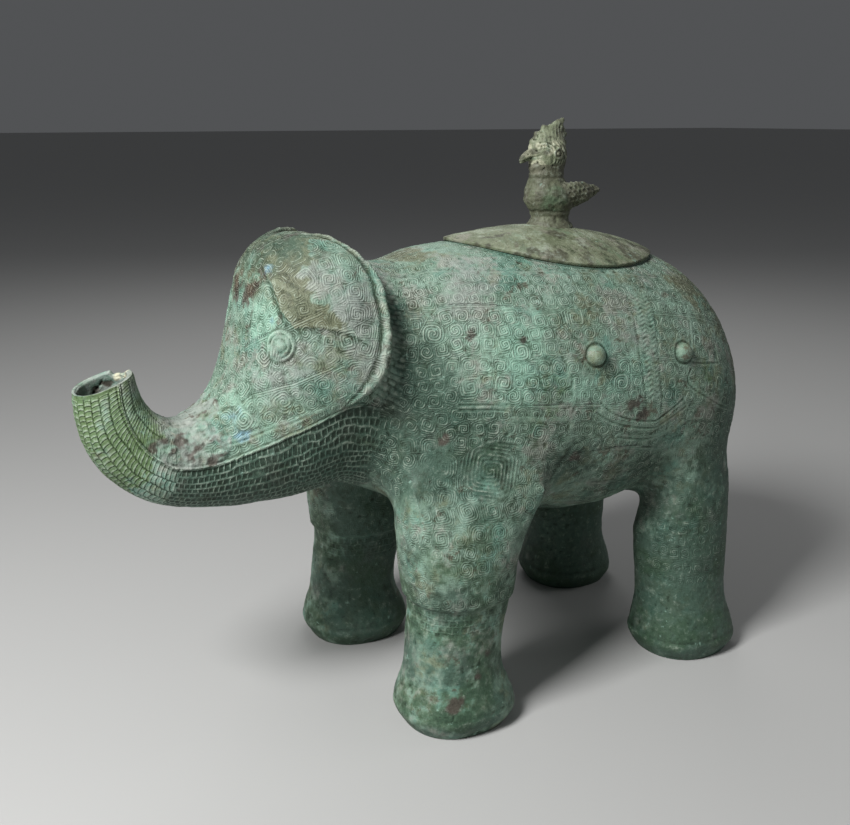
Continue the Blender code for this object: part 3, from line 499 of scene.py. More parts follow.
# Scales: rows across the trunk and columns along it, below a border on face and trunk. Under the
# chin each column is halved into small blocks like a honeycomb.
BORDER = np.array([(0.0, 90.0), (9.5, 90.0), (11.0, 96.0), (12.1, 100.5), (13.15, 102.0), (14.43, 100.4),
                   (15.35, 96.6), (16.34, 90.6), (17.12, 88.5), (17.9, 86.5), (18.63, 85.1), (19.54, 85.5),
                   (20.1, 87.0), (20.72, 85.1), (21.6, 83.4), (22.31, 80.5), (23.08, 78.5), (23.85, 77.9),
                   (24.69, 74.9), (25.0, 74.0)])
UPPER_BORDER = ((12.3, 100.2), (13.41, 96.8), (14.37, 94.3), (14.99, 91.7), (16.15, 83.6),
                (16.97, 78.3), (17.84, 71.6))
border = np.interp(station, *BORDER.T)
skin_along, skin_up = unrolled(np.maximum(station, 0.0), degrees, BORDER)
walk = np.linspace(9.0, MOUTH, 600)
steps = np.linalg.norm(np.diff(skin(walk, np.full(600, np.radians(135.0))), axis=0), axis=1)
pitch = np.interp(walk[1:], (9.0, 15.0, 17.0, 20.0, 25.0), (4.1, 4.0, 4.0, 3.7, 3.5))
rows_walked = np.interp(station, walk, np.concatenate([[0.0], np.cumsum(steps / pitch)]))
below = on_net & (degrees > border)
wander = 0.16 * cloud(points, 13.0, 4) + 0.06 * cloud(points, 5.0, 54)
column = np.where(below, 6.0 * (degrees - border) / (180.0 - border), 3.0 * degrees / border)
column += wander
chin = below & (station < 19.7 + 0.6 * cloud(points, 12.0, 6))
column = np.where(chin, 2.0 * column * np.where(station < 14.6, 1.5, 1.0), column)
COLUMN_STAGGER = np.array([0.0, 0.45, 0.95, 0.5, 0.1, 0.6, 0.15, 0.55])
stagger = COLUMN_STAGGER[np.clip(np.floor(column).astype(int), 0, len(COLUMN_STAGGER) - 1)]
stagger = np.where(chin, 0.5 * (np.floor(column) % 2), stagger)
in_column = 2.0 * (column - np.floor(column)) - 1.0
row = (rows_walked + stagger + 0.30 * cloud(points, 13.0, 3) + 0.10 * cloud(points, 4.0, 2)
       - np.where(chin, 0.10, 0.20) * (1.0 - in_column ** 2))
row += np.where(below, 0.0, 0.55 * column)
edge_noise = 0.35 * cloud(points, 8.0, 9)
lower_scales = np.where(below, ease(station + edge_noise, 10.9, 11.7), 0.0)
above = on_net & ~below
upper_scales = np.where(above, ease(station + 2.2 * edge_noise, 20.2, 20.9), 0.0)
bare_patch = np.where(above, ease(station + 2.5 * edge_noise, 17.8, 18.2), 0.0) * (1.0 - upper_scales)
scale_weight = (lower_scales + upper_scales) * (1.0 - 0.8 * ease(cloud(points, 13.0, 5), 0.4, 0.9))
scale_weight *= 1.0 - ease(station, 24.75, 24.9)
rise = row - np.floor(row)
scale_height = (1.0 - 0.55 * rise) * ease(rise, 0.0, 0.14) * (1.0 - 0.5 * ease(rise, 0.86, 1.0))
seam_gap = (1.0 - np.abs(in_column)) * np.where(chin, 1.8, 3.5)
cell_wall = np.maximum(ridge(np.minimum(rise, 1.0 - rise) * 3.9, 0.7), ridge(seam_gap, 0.7))
chin_form = 0.30 * cell_wall * (1.0 + 0.6 * cloud(points, 7.0, 49))
scale_form = 0.46 * scale_height - 0.22 * ridge(seam_gap, 0.6)
relief = scale_weight * np.where(chin, chin_form, scale_form)
at_border = np.where(on_net & (station > 12.0), np.abs(skin_up), NOWHERE)
upper_border = to_line(UPPER_BORDER, 200)
relief += 0.45 * ridge(at_border - 0.4, 0.7) - 0.45 * ridge(at_border - 1.7, 0.6)
relief -= 0.35 * ridge(upper_border, 0.7) * (station > 12.6)
relief += 0.3 * ridge(upper_border - 1.5, 0.7) * (station > 12.6)

# Ear: a raised front lobe with a crisp edge and a fold, and a rim along the rear edge.
LOBE_EDGE = np.array([(0.0, 13.7), (14.8, 13.95), (35.7, 14.08), (49.4, 14.14), (61.4, 13.89),
                      (66.0, 13.35), (70.0, 12.9), (78.0, 11.8)])
on_ear_front = (part == 1) & (station > 11.0)
lobe = np.where(on_ear_front, ease(np.interp(degrees, *LOBE_EDGE.T) - station, -0.02, 0.05), 0.0)
relief += 1.1 * lobe * ease(station, 11.3, 12.4) * ease(degrees, 22.0, 42.0)
lobe_groove = to_line(((14.1, 18.0), (14.2, 36.0), (14.24, 49.4), (13.98, 61.6), (13.42, 67.2), (13.0, 70.5)))
relief -= 0.7 * ridge(lobe_groove, 0.9)
lobe_fold = to_line(((13.02, 65.5), (13.31, 57.1), (13.53, 48.6), (13.78, 41.0), (13.95, 34.0)))
relief -= 0.55 * ridge(lobe_fold, 0.8) - 0.3 * ridge(lobe_fold - 1.7, 0.8)
crease = to_line(((12.27, 46.5), (12.59, 64.9), (12.52, 72.9), (12.77, 92.7)))
relief -= 0.8 * ridge(crease, 1.8)
# The flap's net has its own stations, so the way in from its edge is read from them.
EAR_MM_PER_STATION = 20.0
ear_away = np.clip(np.abs(angle - EAR_MIDDLE) / EAR_HALF_ANGLE, 0.0, 1.0)
ear_line = EAR_STATION + EDGE_HALF + ear_sweep(angle, ear_away)
ear_in = np.where(part == 1, (station - ear_line) * EAR_MM_PER_STATION, NOWHERE)
ear_free = 1.0 - ear_away ** 5
ear_in = ear_in + 0.8 * cloud(points, 9.0, 56)
relief += ear_free * (0.80 * ridge(ear_in - 2.0, 1.9) - 0.60 * ridge(ear_in - 5.6, 1.3)
                      + 0.3 * ridge(ear_in - 7.8, 1.0))
ear_edge = ear_free * ridge(ear_in - 0.6, 3.2)
relief += ear_edge * (0.8 * cloud(points, 6.0, 45) + 0.5 * cloud(points, 3.2, 46))

# Eye: two rings round a dome. Bosses: round knobs. Tail: a low roll down the rump.
EYE_DOME, EYE_INNER, EYE_OUTER = 4.6, 6.2, 9.0
eye_far, eye_across = from_spot(14.56, 60.3)
eye_across = np.where(eye_far < 26.0, eye_across, NOWHERE)
eye = np.sqrt(np.clip(1.0 - (eye_across / EYE_DOME) ** 2, 0.0, 1.0)) * 2.2
eye = np.maximum(eye, 1.5 * ridge(eye_across - EYE_INNER, 1.0))
eye = np.maximum(eye, 0.55 * (1.0 - ease(eye_across, EYE_INNER, EYE_OUTER)))
eye = np.maximum(eye, 1.25 * ridge(eye_across - EYE_OUTER, 0.9))
relief = relief * ease(eye_across, 9.0, 12.0) + eye - 0.55 * ridge(eye_across - 10.9, 0.9)
relief -= 0.5 * ridge(eye_across - 7.7, 0.6)
knobs = np.full(len(points), NOWHERE)
for boss_place in ((7.0, 73.3), (5.40, 71.8)):
    boss_far, boss_across = from_spot(*boss_place)
    knobs = np.minimum(knobs, np.where(boss_far < 22.0, boss_across, NOWHERE))
BOSS_RADIUS, BOSS_HEIGHT = 7.3, 6.4
relief += BOSS_HEIGHT * np.clip(1.0 - (knobs / BOSS_RADIUS) ** 2, 0.0, 1.0) ** 0.62
relief -= 0.45 * ridge(knobs - 8.2, 0.8)
relief += 0.3 * ridge(knobs - 10.0, 0.8)
tail_length = ease(height, 200.0, 226.0) * (1.0 - ease(height, 292.0, 306.0)) * (points[:, 0] > 185.0)
tail_half = np.interp(height, (200.0, 226.0, 300.0), (4.5, 6.5, 5.0))
tail = np.clip(1.0 - (points[:, 1] / tail_half) ** 2, 0.0, 1.0) ** 0.5 * tail_length * behind
relief += 2.6 * tail

# Flank: a strap of waves down from the lid, a saddle cloth's border, and the shoulder's lines.
cloth = [to_line(((7.02, 92.3), (6.77, 95.7), (6.39, 98.3), (5.98, 99.1), (5.74, 96.6), (5.37, 90.6))),
         to_line(((6.95, 89.6), (6.73, 93.1), (6.37, 95.6), (5.99, 96.4), (5.78, 94.0), (5.45, 88.5))),
         to_line(((6.6, 102.1), (6.26, 103.5), (5.82, 102.8), (5.37, 97.0)))]
cut_lines = cloth + [to_line(((7.43, 79.4), (7.40, 90.0), (7.36, 103.8))),
                     to_line(((5.11, 58.0), (5.22, 68.6), (5.27, 74.9))),
                     to_line(((5.27, 75.2), (4.93, 74.8), (4.38, 73.1))),
                     to_line(((5.27, 77.5), (5.30, 84.0), (4.6, 88.0), (3.9, 88.5))),
                     to_line(((8.44, 94.0), (8.11, 93.8), (7.5, 94.2))),
                     to_line(((9.51, 89.8), (9.13, 89.8), (8.55, 89.4))),
                     to_line(((9.51, 91.4), (9.13, 91.4), (8.55, 91.0))),
                     to_line(((9.26, 130.0), (9.26, 118.6), (9.26, 108.9), (9.12, 105.2), (8.7, 103.6),
                              (8.25, 103.8)))]
for gap in cut_lines:
    relief -= 0.45 * ridge(gap, 0.8) * (knobs > 9.0)
    relief += 0.25 * ridge(gap - 1.5, 0.7) * (knobs > 9.0)
strap_middle = np.interp(degrees, (40.0, 60.7, 72.8, 83.0, 89.8), (5.93, 6.01, 6.07, 6.04, 5.99))
strap_half = np.interp(degrees, (40.0, 60.7, 89.8), (11.0, 9.0, 6.5))
BODY_MM_PER_STATION = 50.0
strap_across = (station - strap_middle) * BODY_MM_PER_STATION
strap_length = ease(degrees, 44.0, 50.0) * (1.0 - ease(degrees, 88.0, 91.0))
in_band = behind * ease(strap_half - np.abs(strap_across), 0.3, 1.5) * strap_length
WAVE_DEGREES = 1.75
bow = 0.30 * np.cos(strap_across * 0.75) + 0.25 * cloud(points, 10.0, 15)
waves = np.cos(2.0 * np.pi * (degrees / WAVE_DEGREES + bow))
relief += in_band * 0.20 * waves * (0.6 + 0.4 * cloud(points, 11.0, 16))
strap_line = ease(degrees, 46.0, 60.0) * (1.0 - ease(degrees, 92.0, 96.0))
relief -= 0.35 * behind * ridge(np.abs(strap_across) - strap_half - 0.8, 0.8) * strap_line

# Blocks behind the ear, and the faint grid below the knees' sleeves.
block_middle = np.interp(degrees, (30.0, 60.0, 78.0, 92.0), (10.52, 10.66, 10.72, 10.88))
in_blocks = np.where(part == 0, ease(station, block_middle - 0.12, block_middle - 0.05), 0.0)
in_blocks *= ease(degrees, 26.0, 32.0) * (1.0 - ease(degrees, 92.0, 98.0)) * (1.0 - ease(station, 11.5, 11.7))
block_row = degrees / 2.9 + 0.30 * cloud(points, 7.0, 8)
block_column = (station - block_middle) * 4.2 + 0.5 * (np.floor(block_row) % 2) + 0.2 * cloud(points, 6.0, 7)
block_gap = np.minimum(np.abs(block_row - np.round(block_row)) * 4.3,
                       np.abs(block_column - np.round(block_column)) * 6.0)
relief += in_blocks * (0.25 - 0.55 * ridge(block_gap, 0.7))
knee_grid = np.where(on_leg & ~hind, ease(height, 76.0, 80.0) * (1.0 - ease(height, 94.5, 96.0)), 0.0)
KNEE_ROW, KNEE_COLUMNS = 5.0, 38.0
knee_row = height / KNEE_ROW + 0.15 * cloud(points, 9.0, 50)
knee_column = angle * KNEE_COLUMNS / (2.0 * np.pi) + 0.5 * (np.floor(knee_row) % 2)
relief -= knee_grid * 0.06 * ridge(np.abs(knee_row - np.round(knee_row)) * KNEE_ROW, 0.9)
row, column = np.where(on_leg, knee_row, row), np.where(on_leg, knee_column, column)
scale_weight = np.where(on_leg, 0.65 * knee_grid, scale_weight)
sole_edge = ease(height, 2.0, 12.5) * (1.0 - ease(height, 13.5, 17.5)) * on_leg
relief += sole_edge * (0.8 + 0.7 * cloud(points, 11.0, 47))
haunch = to_line(((7.30, 104.0), (7.42, 110.0), (7.55, 118.0), (7.72, 127.0)))
relief -= 0.9 * ridge(haunch, 2.4)

# Where spirals are: not on scales, lower legs, the ear's back, under the lid or in the bare patch.
LID_X, LID_HALF_LENGTH, LID_HALF_WIDTH = 134.5 - MIDDLE_X, 86.0, 68.0
BACK_LEVEL = 250.0
on_back = height > BACK_LEVEL
lid_place = np.sqrt(((points[:, 0] - LID_X) / LID_HALF_LENGTH) ** 2 + (points[:, 1] / LID_HALF_WIDTH) ** 2)
under_lid = on_back * (1.0 - ease(lid_place, 1.0, 1.03))
leg_end = np.where(hind, 66.0, 97.5)
carved = np.where(on_leg | (part == 5), ease(height, leg_end, leg_end + 2.0), 1.0)
carved = carved * (1.0 - np.clip(lower_scales + upper_scales, 0.0, 1.0)) * (1.0 - 0.85 * bare_patch)
carved *= (1.0 - in_blocks) * (1.0 - np.clip(in_band, 0.0, 1.0)) * (1.0 - tail) * (1.0 - under_lid)
carved *= ease(eye_across, 11.0, 12.5) * ease(knobs, 10.5, 11.5)
for gap in cut_lines + [lobe_fold, upper_border]:
    carved *= ease(gap, 1.6, 2.6)
carved *= ease(at_border, 2.2, 3.2)
belly = ease(-height, -168.0, -150.0) * ease(-np.abs(points[:, 1]), -60.0, -45.0)
carved *= 1.0 - 0.7 * belly
worn = ease(cloud(points, 27.0, 11) + 0.6 * cloud(points, 9.0, 12), 0.45, 1.05)
worn_back = ease(cloud(points, 40.0, 13), 0.2, 0.7) * ease(50.0 - degrees, 0.0, 25.0) * (station < 11.0)
carved *= 1.0 - 0.7 * np.maximum(worn, worn_back)
carved *= np.where((part == 1) & (station < 13.4), 0.8, 1.0)
worn_leg = np.where(hind, 0.55, 0.85) * (1.0 - 0.7 * ease(cloud(points, 19.0, 55), -0.1, 0.5))
carved *= np.where(on_leg | (part == 5), worn_leg, 1.0)

# Spirals sit in rows that follow the skin. After every third row comes a strip of straight lines.
# Each spiral has a middle, a frame along its row, and the share of the skin nearer to it.
THREAD = 1.60
ROW_PITCH, COLUMN_PITCH, STRIP_WIDTH, SEAM_ROWS = 9.9, 10.9, 4.9, 3
LEG_RADIUS, LEG_TOP = 43.0, 160.0
lay_along = np.where(on_leg, angle * LEG_RADIUS, skin_along)
lay_up = np.where(on_leg, height - LEG_TOP, skin_up - 2.0)
lay_up = lay_up + 1.6 * np.sin(lay_along / 37.0) + 1.2 * cloud(points, 42.0, 17)
period = SEAM_ROWS * ROW_PITCH + STRIP_WIDTH
band_number = np.floor(lay_up / period)
in_period = lay_up - band_number * period
has_strip = ease(cloud(points, 46.0, 18) + 0.25, -0.05, 0.1)
strip_from = SEAM_ROWS * ROW_PITCH
strip = ease(in_period, strip_from, strip_from + 0.4) * (1.0 - ease(in_period, period - 0.4, period))
strip *= has_strip
strip *= on_net & (station > 1.5) & ((part != 1) | (station > 13.0))
row_number = np.minimum(np.floor(in_period / ROW_PITCH), SEAM_ROWS - 1.0)
row_shift = chance.uniform(0.0, 1.0, 4096)[(band_number * SEAM_ROWS + row_number).astype(int) % 4096]
place_in_row = lay_along / COLUMN_PITCH + row_shift
cell_number = np.floor(place_in_row)
off_middle = np.hypot((place_in_row - cell_number - 0.5) * COLUMN_PITCH,
                      in_period - (row_number + 0.5) * ROW_PITCH)
open_to = np.flatnonzero((carved > 0.05) & (off_middle < 2.5))
cell = ((on_leg * 7.0 + hind) * 1e8 + (band_number * SEAM_ROWS + row_number + 500.0) * 1e4
        + cell_number + 500.0)[open_to]
open_to = open_to[np.lexsort((off_middle[open_to], cell))]
_, first = np.unique(np.sort(cell), return_index=True)
middles = open_to[first]
middles = middles[chance.permutation(len(middles))]
# The larger spirals: station, degrees and swell. The first is the square one on the shoulder.
BIG_SPIRALS = ((8.76, 117.0, 12.0), (9.3, 84.0, 4.0), (8.6, 82.0, 4.0), (8.2, 70.0, 3.5),
               (15.4, 50.0, 3.5), (13.6, 80.0, 4.5), (14.9, 83.0, 3.0), (4.4, 80.5, 3.5),
               (6.6, 84.0, 3.5), (7.9, 99.0, 3.5), (13.2, 45.0, 3.0), (9.9, 60.0, 4.0),
               (12.4, 76.0, 3.5), (16.9, 64.0, 3.5), (5.0, 66.0, 3.0), (9.7, 118.0, 3.5),
               (3.4, 96.0, 4.0), (7.2, 58.0, 3.5))
big_points = [int(np.argmin(((points - skin(np.array(s), np.radians(d))) ** 2).sum(axis=1)))
              for s, d, _ in BIG_SPIRALS]
from_big = np.sqrt(((points[middles][:, None] - points[big_points][None]) ** 2).sum(-1))
room = np.full(len(big_points), 9.0)
room[0] = 14.0
middles = middles[(from_big > room).all(axis=1)]
apart = np.sqrt(((points[middles][:, None] - points[middles][None]) ** 2).sum(-1))
LEAST_APART = 6.4
crowded = np.tril(apart < LEAST_APART, -1)
middles = middles[~crowded.any(axis=1)]
swell = np.concatenate([[size for _, _, size in BIG_SPIRALS], chance.uniform(0.0, 1.6, len(middles))])
middles = np.concatenate([big_points, middles])
seeds = chance.uniform(0.0, 1.0, len(middles))
seeds[0] = 1.0
facing = bare_normals[middles]
level = np.cross(facing, np.array([0.0, 0.0, 1.0]))
step_on = np.clip(station[middles], 0.1, MOUTH - 0.1)
row_run = skin(step_on + 0.05, angle[middles] % np.pi) - skin(step_on - 0.05, angle[middles] % np.pi)
level = np.where((part[middles] <= 2)[:, None], row_run, level)
level -= (level * facing).sum(axis=1, keepdims=True) * facing
level /= np.maximum(np.linalg.norm(level, axis=1, keepdims=True), 1e-6)
steep = np.cross(facing, level)
slant = chance.normal(0.0, 0.14, len(middles))
across_frame = level * np.cos(slant)[:, None] + steep * np.sin(slant)[:, None]
hand = np.where(chance.uniform(size=len(middles)) < 0.5, 1.0, -1.0)
up_frame = np.cross(facing, across_frame) * hand[:, None]
fineness = np.ones(len(middles))
fineness[0], fineness[1:len(big_points)] = 0.62, 0.86
TURN_COST = 7.0


def nearest(at, facing_at):
    """The nearest two middles of each point, by distance less each middle's own swell, and the
    distance from the line between their shares."""
    key = np.concatenate([points[middles], TURN_COST * facing], axis=1)
    level_of = (key ** 2).sum(axis=1) - swell ** 2 * 3.0
    best, gap = np.zeros(len(at), dtype=int), np.zeros(len(at))
    query = np.concatenate([at, TURN_COST * facing_at], axis=1).astype(np.float32)
    key = key.astype(np.float32)
    for run in np.array_split(np.arange(len(at)), 1 + len(at) // 4000):
        cost = level_of[None].astype(np.float32) - 2.0 * query[run] @ key.T
        two = np.argpartition(cost, 1, axis=1)[:, :2]
        costs = np.take_along_axis(cost, two, axis=1)
        turned = costs[:, 0] > costs[:, 1]
        two[turned] = two[turned][:, ::-1]
        best[run] = two[:, 0]
        between = np.linalg.norm(points[middles[two[:, 0]]] - points[middles[two[:, 1]]], axis=1)
        gap[run] = np.abs(costs[:, 1] - costs[:, 0]) / (2.0 * np.maximum(between, 1.0))
    return best, gap


def spiral_place(at, motif):
    """Place of each point in its spiral's frame, shrunk for the few that are cut coarser."""
    off = (at - points[middles[motif]]) * fineness[motif][..., None]
    return (off * across_frame[motif]).sum(-1), (off * up_frame[motif]).sum(-1)


# A spiral's outline is a superellipse: its seed takes the exponent from a round one to a square one.
ROUND_POWER, MORE_POWER = 2.2, 3.6
motif, to_rim = nearest(points, bare_normals)
in_x, in_y = spiral_place(points, motif)
square = ROUND_POWER + MORE_POWER * seeds[motif]
radius = (np.abs(in_x) ** square + np.abs(in_y) ** square) ** (1.0 / square)
turns = np.arctan2(in_y, in_x) / (2.0 * np.pi)
coil = np.cos(2.0 * np.pi * (radius / (2.0 * THREAD) - turns + seeds[motif]))
carved *= np.where(motif == 0, 0.75, 1.0)
carved_spirals = carved * (1.0 - strip)
relief += carved_spirals * (0.15 * coil * ease(to_rim, 0.4, 1.4) - 0.09 * ridge(to_rim, 0.8))
strip *= carved
relief += 0.16 * strip * np.cos(2.0 * np.pi * in_period / (2.0 * THREAD))

# Casting skin: slow waves, grains of corrosion, pits, and the crust on the bare patch.
relief += 0.8 * cloud(points, 3.4, 53) * ease(-eye_across, -11.0, -8.0)
relief += 0.32 * cloud(points, 15.0, 21) + 0.22 * cloud(points, 5.0, 22) + 0.16 * cloud(points, 2.6, 23)
pits = ease(cloud(points, 3.4, 24), 0.50, 0.80) * ease(cloud(points, 40.0, 25), -0.1, 0.5)
relief -= 0.45 * pits
lumps_on_patch = 0.7 * cloud(points, 2.8, 26) + 0.9 * ease(cloud(points, 6.0, 27), 0.05, 0.4)
relief += bare_patch * lumps_on_patch
relief *= ease(height, 0.0, 2.5) * (1.0 - 0.9 * under_lid)
relief *= 1.0 - ease(station, 24.9, 25.0)
# Cavity: the relief less its smoothed self. The patina darkens the colour where it is sunk and pales it where
# it stands proud: partly dirt and wear, partly painted shade and highlight.
level_relief = settled(relief[:, None], (quads, triangles), np.full(len(points), 0.5), 14)[:, 0]
cavity = np.clip((relief - level_relief) * 2.2, -1.0, 1.0) * (0.1 + 0.9 * ease(knobs, 6.0, 9.0))
cavity *= (1.0 - 0.4 * bare_patch) * (1.0 - 0.6 * sole_edge) * (0.6 + 0.4 * ease(eye_across, 8.0, 12.0))

# The relief stands proud of the solids' skin, so the ears' and the trunk's outermost few millimetres
# are pressed in to stay inside the solids' box.
SIDE_LIMIT, SIDE_SQUEEZE = 114.0, 0.84
FRONT_LIMIT, FRONT_SQUEEZE = -258.0, 0.93
moved = points + bare_normals * relief[:, None]
wide = np.abs(moved[:, 1])
moved[:, 1] = -np.where(wide > SIDE_LIMIT, SIDE_LIMIT + (wide - SIDE_LIMIT) * SIDE_SQUEEZE, wide)
moved[points[:, 1] == 0.0, 1] = 0.0
moved[:, 2] = np.maximum(moved[:, 2], 0.0)
past_front = moved[:, 0] - FRONT_LIMIT
moved[:, 0] = np.where(past_front < 0.0, FRONT_LIMIT + past_front * FRONT_SQUEEZE, moved[:, 0])


# Patina: matt copper salts grown on the bronze in the ground, mint, grey, olive, yellow green and
# brown. Each colour lies in soft patches round places on the skin, frayed by noise.
def patch(*spots):
    """Bell curves of the distance from each spot, summed. A spot: station, degrees, radius, strength."""
    total = np.zeros(len(points))
    for at_station, at_degrees, size, strength in spots:
        middle = skin(np.array(at_station), np.radians(at_degrees))
        total += strength * np.exp(-((points - middle) ** 2).sum(axis=1) / size ** 2)
    return np.clip(total, 0.0, 1.0)


ragged = 0.6 * cloud(points, 12.0, 31) + 0.45 * cloud(points, 5.0, 32) + 0.3 * cloud(points, 2.4, 34)
low = ease(-height, -200.0, -90.0)
FOLD = np.array([(0.0, 12.3), (20.0, 12.6), (34.0, 13.3), (41.0, 13.78), (48.6, 13.53), (57.1, 13.31),
                 (65.0, 13.05), (72.0, 12.9)])
fold_at = np.interp(degrees, *FOLD.T)
olive = patch((13.2, 6.0, 24.0, 0.8), (12.5, 16.0, 20.0, 0.7), (14.6, 14.0, 13.0, 0.6),
              (3.6, 22.0, 30.0, 0.6), (2.2, 20.0, 34.0, 0.7), (9.6, 6.0, 22.0, 0.6), (6.9, 58.0, 14.0, 0.4),
              (1.6, 50.0, 30.0, 0.5), (4.4, 40.0, 22.0, 0.5), (8.5, 108.0, 16.0, 0.15),
              (3.0, 60.0, 20.0, 0.4))
olive *= 1.0 + 0.9 * ragged
olive += lobe * ease(station + 0.5 * ragged, fold_at - 0.55, fold_at - 0.25)
olive += 0.60 * np.clip(ragged + 0.25, 0.0, 1.0) * ease(cloud(points, 34.0, 35), -0.2, 0.4)
olive = np.clip(olive, 0.0, 1.0)
mint = patch((15.2, 60.0, 15.0, 0.6), (14.9, 38.0, 16.0, 1.0), (16.3, 60.0, 20.0, 0.4),
             (17.8, 30.0, 16.0, 0.6), (14.4, 78.0, 14.0, 0.4), (8.6, 78.0, 34.0, 0.6), (7.2, 86.0, 20.0, 0.5),
             (6.4, 84.0, 22.0, 0.7), (5.3, 52.0, 16.0, 0.5), (9.0, 100.0, 20.0, 0.4), (7.9, 60.0, 30.0, 0.4),
             (16.5, 85.0, 16.0, 0.5), (12.2, 84.0, 14.0, 0.3), (5.2, 84.0, 15.0, 0.5), (9.4, 62.0, 16.0, 0.6))
mint = np.clip(mint * (1.0 + 0.8 * ragged) + 0.35 * ragged, 0.0, 1.0) * (1.0 - 0.9 * olive)
grey = patch((14.2, 76.0, 24.0, 0.45), (15.8, 56.0, 22.0, 0.35), (12.2, 62.0, 22.0, 0.9),
             (11.8, 84.0, 20.0, 0.8), (12.9, 40.0, 14.0, 0.7), (9.2, 74.0, 20.0, 0.3), (7.5, 70.0, 16.0, 0.3),
             (6.3, 66.0, 14.0, 0.4), (8.6, 30.0, 26.0, 0.6), (5.6, 40.0, 20.0, 0.4), (9.3, 50.0, 22.0, 0.5),
             (10.6, 20.0, 20.0, 0.5))
grey = grey * (1.0 + 0.7 * ragged) + bare_patch * (0.65 + 0.5 * ragged)
grey += 0.4 * np.clip(-ragged, 0.0, 1.0) * ease(cloud(points, 28.0, 36), 0.0, 0.5)
grey = np.clip(grey, 0.0, 1.0) * (1.0 - 0.8 * olive)
trunk_green = np.where(part == 2, ease(station + 0.9 * ragged, 20.6, 21.8), 0.0)
green_patches = patch((9.0, 110.0, 20.0, 0.9), (10.0, 80.0, 12.0, 0.5), (4.9, 80.0, 16.0, 0.8),
                      (7.7, 84.0, 15.0, 0.8), (7.9, 97.0, 17.0, 0.7), (9.6, 98.0, 16.0, 0.6),
                      (10.6, 66.0, 10.0, 0.8), (4.2, 96.0, 22.0, 0.7))
yellow = trunk_green * (0.8 + 0.5 * ragged) * (0.65 + 0.35 * (degrees > border))
yellow += 0.5 * (1.0 + 0.9 * ragged) * green_patches
yellow += (0.55 + 0.5 * ragged) * low * ease(cloud(points, 26.0, 33), -0.35, 0.4)
yellow = np.clip(yellow, 0.0, 1.0)
# Painted shade, with some dark patina: a dark green laid under the chin and trunk, low down, over the rump's
# lower rear, under the belly, behind the ear where its shadow falls, down the shoulder and round the lid's
# edge. The spots on the crown are dark patina.
chin_painted_shade = lower_scales * (1.0 - ease(station + 0.8 * ragged, 18.8, 21.0))
rump_painted_shade = ease(points[:, 0], 130.0, 190.0) * ease(-height, -190.0, -100.0)
shade_and_dark_patina = chin_painted_shade + 0.55 * low + 0.1 * (part == 2) * ease(station, 20.2, 21.4) + rump_painted_shade
shade_and_dark_patina += 0.3 * ragged * low
shade_and_dark_patina += patch((13.4, 4.0, 30.0, 0.6), (12.8, 22.0, 26.0, 0.35))
shade_and_dark_patina += patch((10.3, 72.0, 22.0, 0.8), (10.4, 96.0, 26.0, 1.0), (10.6, 52.0, 14.0, 0.6),
              (2.6, 84.0, 46.0, 0.5), (4.0, 100.0, 30.0, 0.5), (10.4, 120.0, 30.0, 1.0),
              (7.3, 112.0, 26.0, 0.7), (6.0, 120.0, 34.0, 0.6), (8.9, 104.0, 34.0, 0.45),
              (8.8, 124.0, 34.0, 0.5), (9.2, 88.0, 24.0, 0.25))
lid_shadow = 0.9 * on_back * ridge(lid_place - 1.012, 0.014)
shade_and_dark_patina = np.clip((1.0 + 0.5 * ragged) * shade_and_dark_patina + lid_shadow + 0.9 * belly, 0.0, 1.0)


def leg_patch(*spots):
    """The same for spots on the legs, where a spot is x, y, z, radius and strength."""
    total = np.zeros(len(points))
    for x, y, z, size, strength in spots:
        total += strength * np.exp(-((points - (x, y, z)) ** 2).sum(axis=1) / size ** 2)
    return total


brown = patch((9.21, 63.0, 4.5, 0.7), (8.14, 65.2, 3.5, 0.6), (9.75, 104.0, 5.0, 0.8), (6.3, 90.5, 8.0, 0.9),
              (6.2, 95.0, 6.0, 0.8), (20.8, 64.8, 4.5, 0.9), (19.6, 44.0, 5.0, 0.7), (21.3, 75.0, 3.5, 0.7),
              (18.9, 60.0, 4.0, 0.9), (19.9, 52.0, 5.0, 1.0), (19.2, 71.0, 4.5, 0.9), (18.4, 74.0, 4.0, 0.8),
              (18.6, 50.0, 4.0, 0.7), (14.7, 76.0, 3.5, 0.5), (16.8, 74.0, 4.5, 0.5), (5.6, 58.0, 5.0, 0.4),
              (14.2, 72.0, 5.0, 0.5), (7.25, 112.0, 7.0, 0.8), (12.9, 6.0, 10.0, 0.5), (14.9, 9.0, 9.0, 0.7),
              (14.3, 20.0, 8.0, 0.5), (13.6, 4.0, 8.0, 0.5), (12.2, 12.0, 7.0, 0.5))
brown += leg_patch((-48.0, -116.0, 30.0, 6.5, 1.2), (-20.0, -118.0, 62.0, 5.0, 0.7),
                   (205.0, -116.0, 60.0, 9.0, 0.5), (-30.0, -118.0, 46.0, 4.0, 0.7))
brown += bare_patch * ease(lumps_on_patch, 0.2, 0.8) * ease(cloud(points, 9.0, 48), -0.35, 0.2)
lobe_brown = 0.3 * lobe * ease(station, 12.6, 13.6) * np.clip(0.4 + ragged, 0.0, 1.0)
brown = np.clip(brown * (1.0 + 2.2 * ragged) + lobe_brown, 0.0, 1.0)
for spot in ((-64.0, -95.0, 60.0, 17.0, 0.9), (-60.0, -95.0, 90.0, 14.0, 0.6),
             (-20.0, -116.0, 22.0, 14.0, 0.5)):
    mint = np.clip(mint + (0.6 + ragged) * leg_patch(spot), 0.0, 1.0)

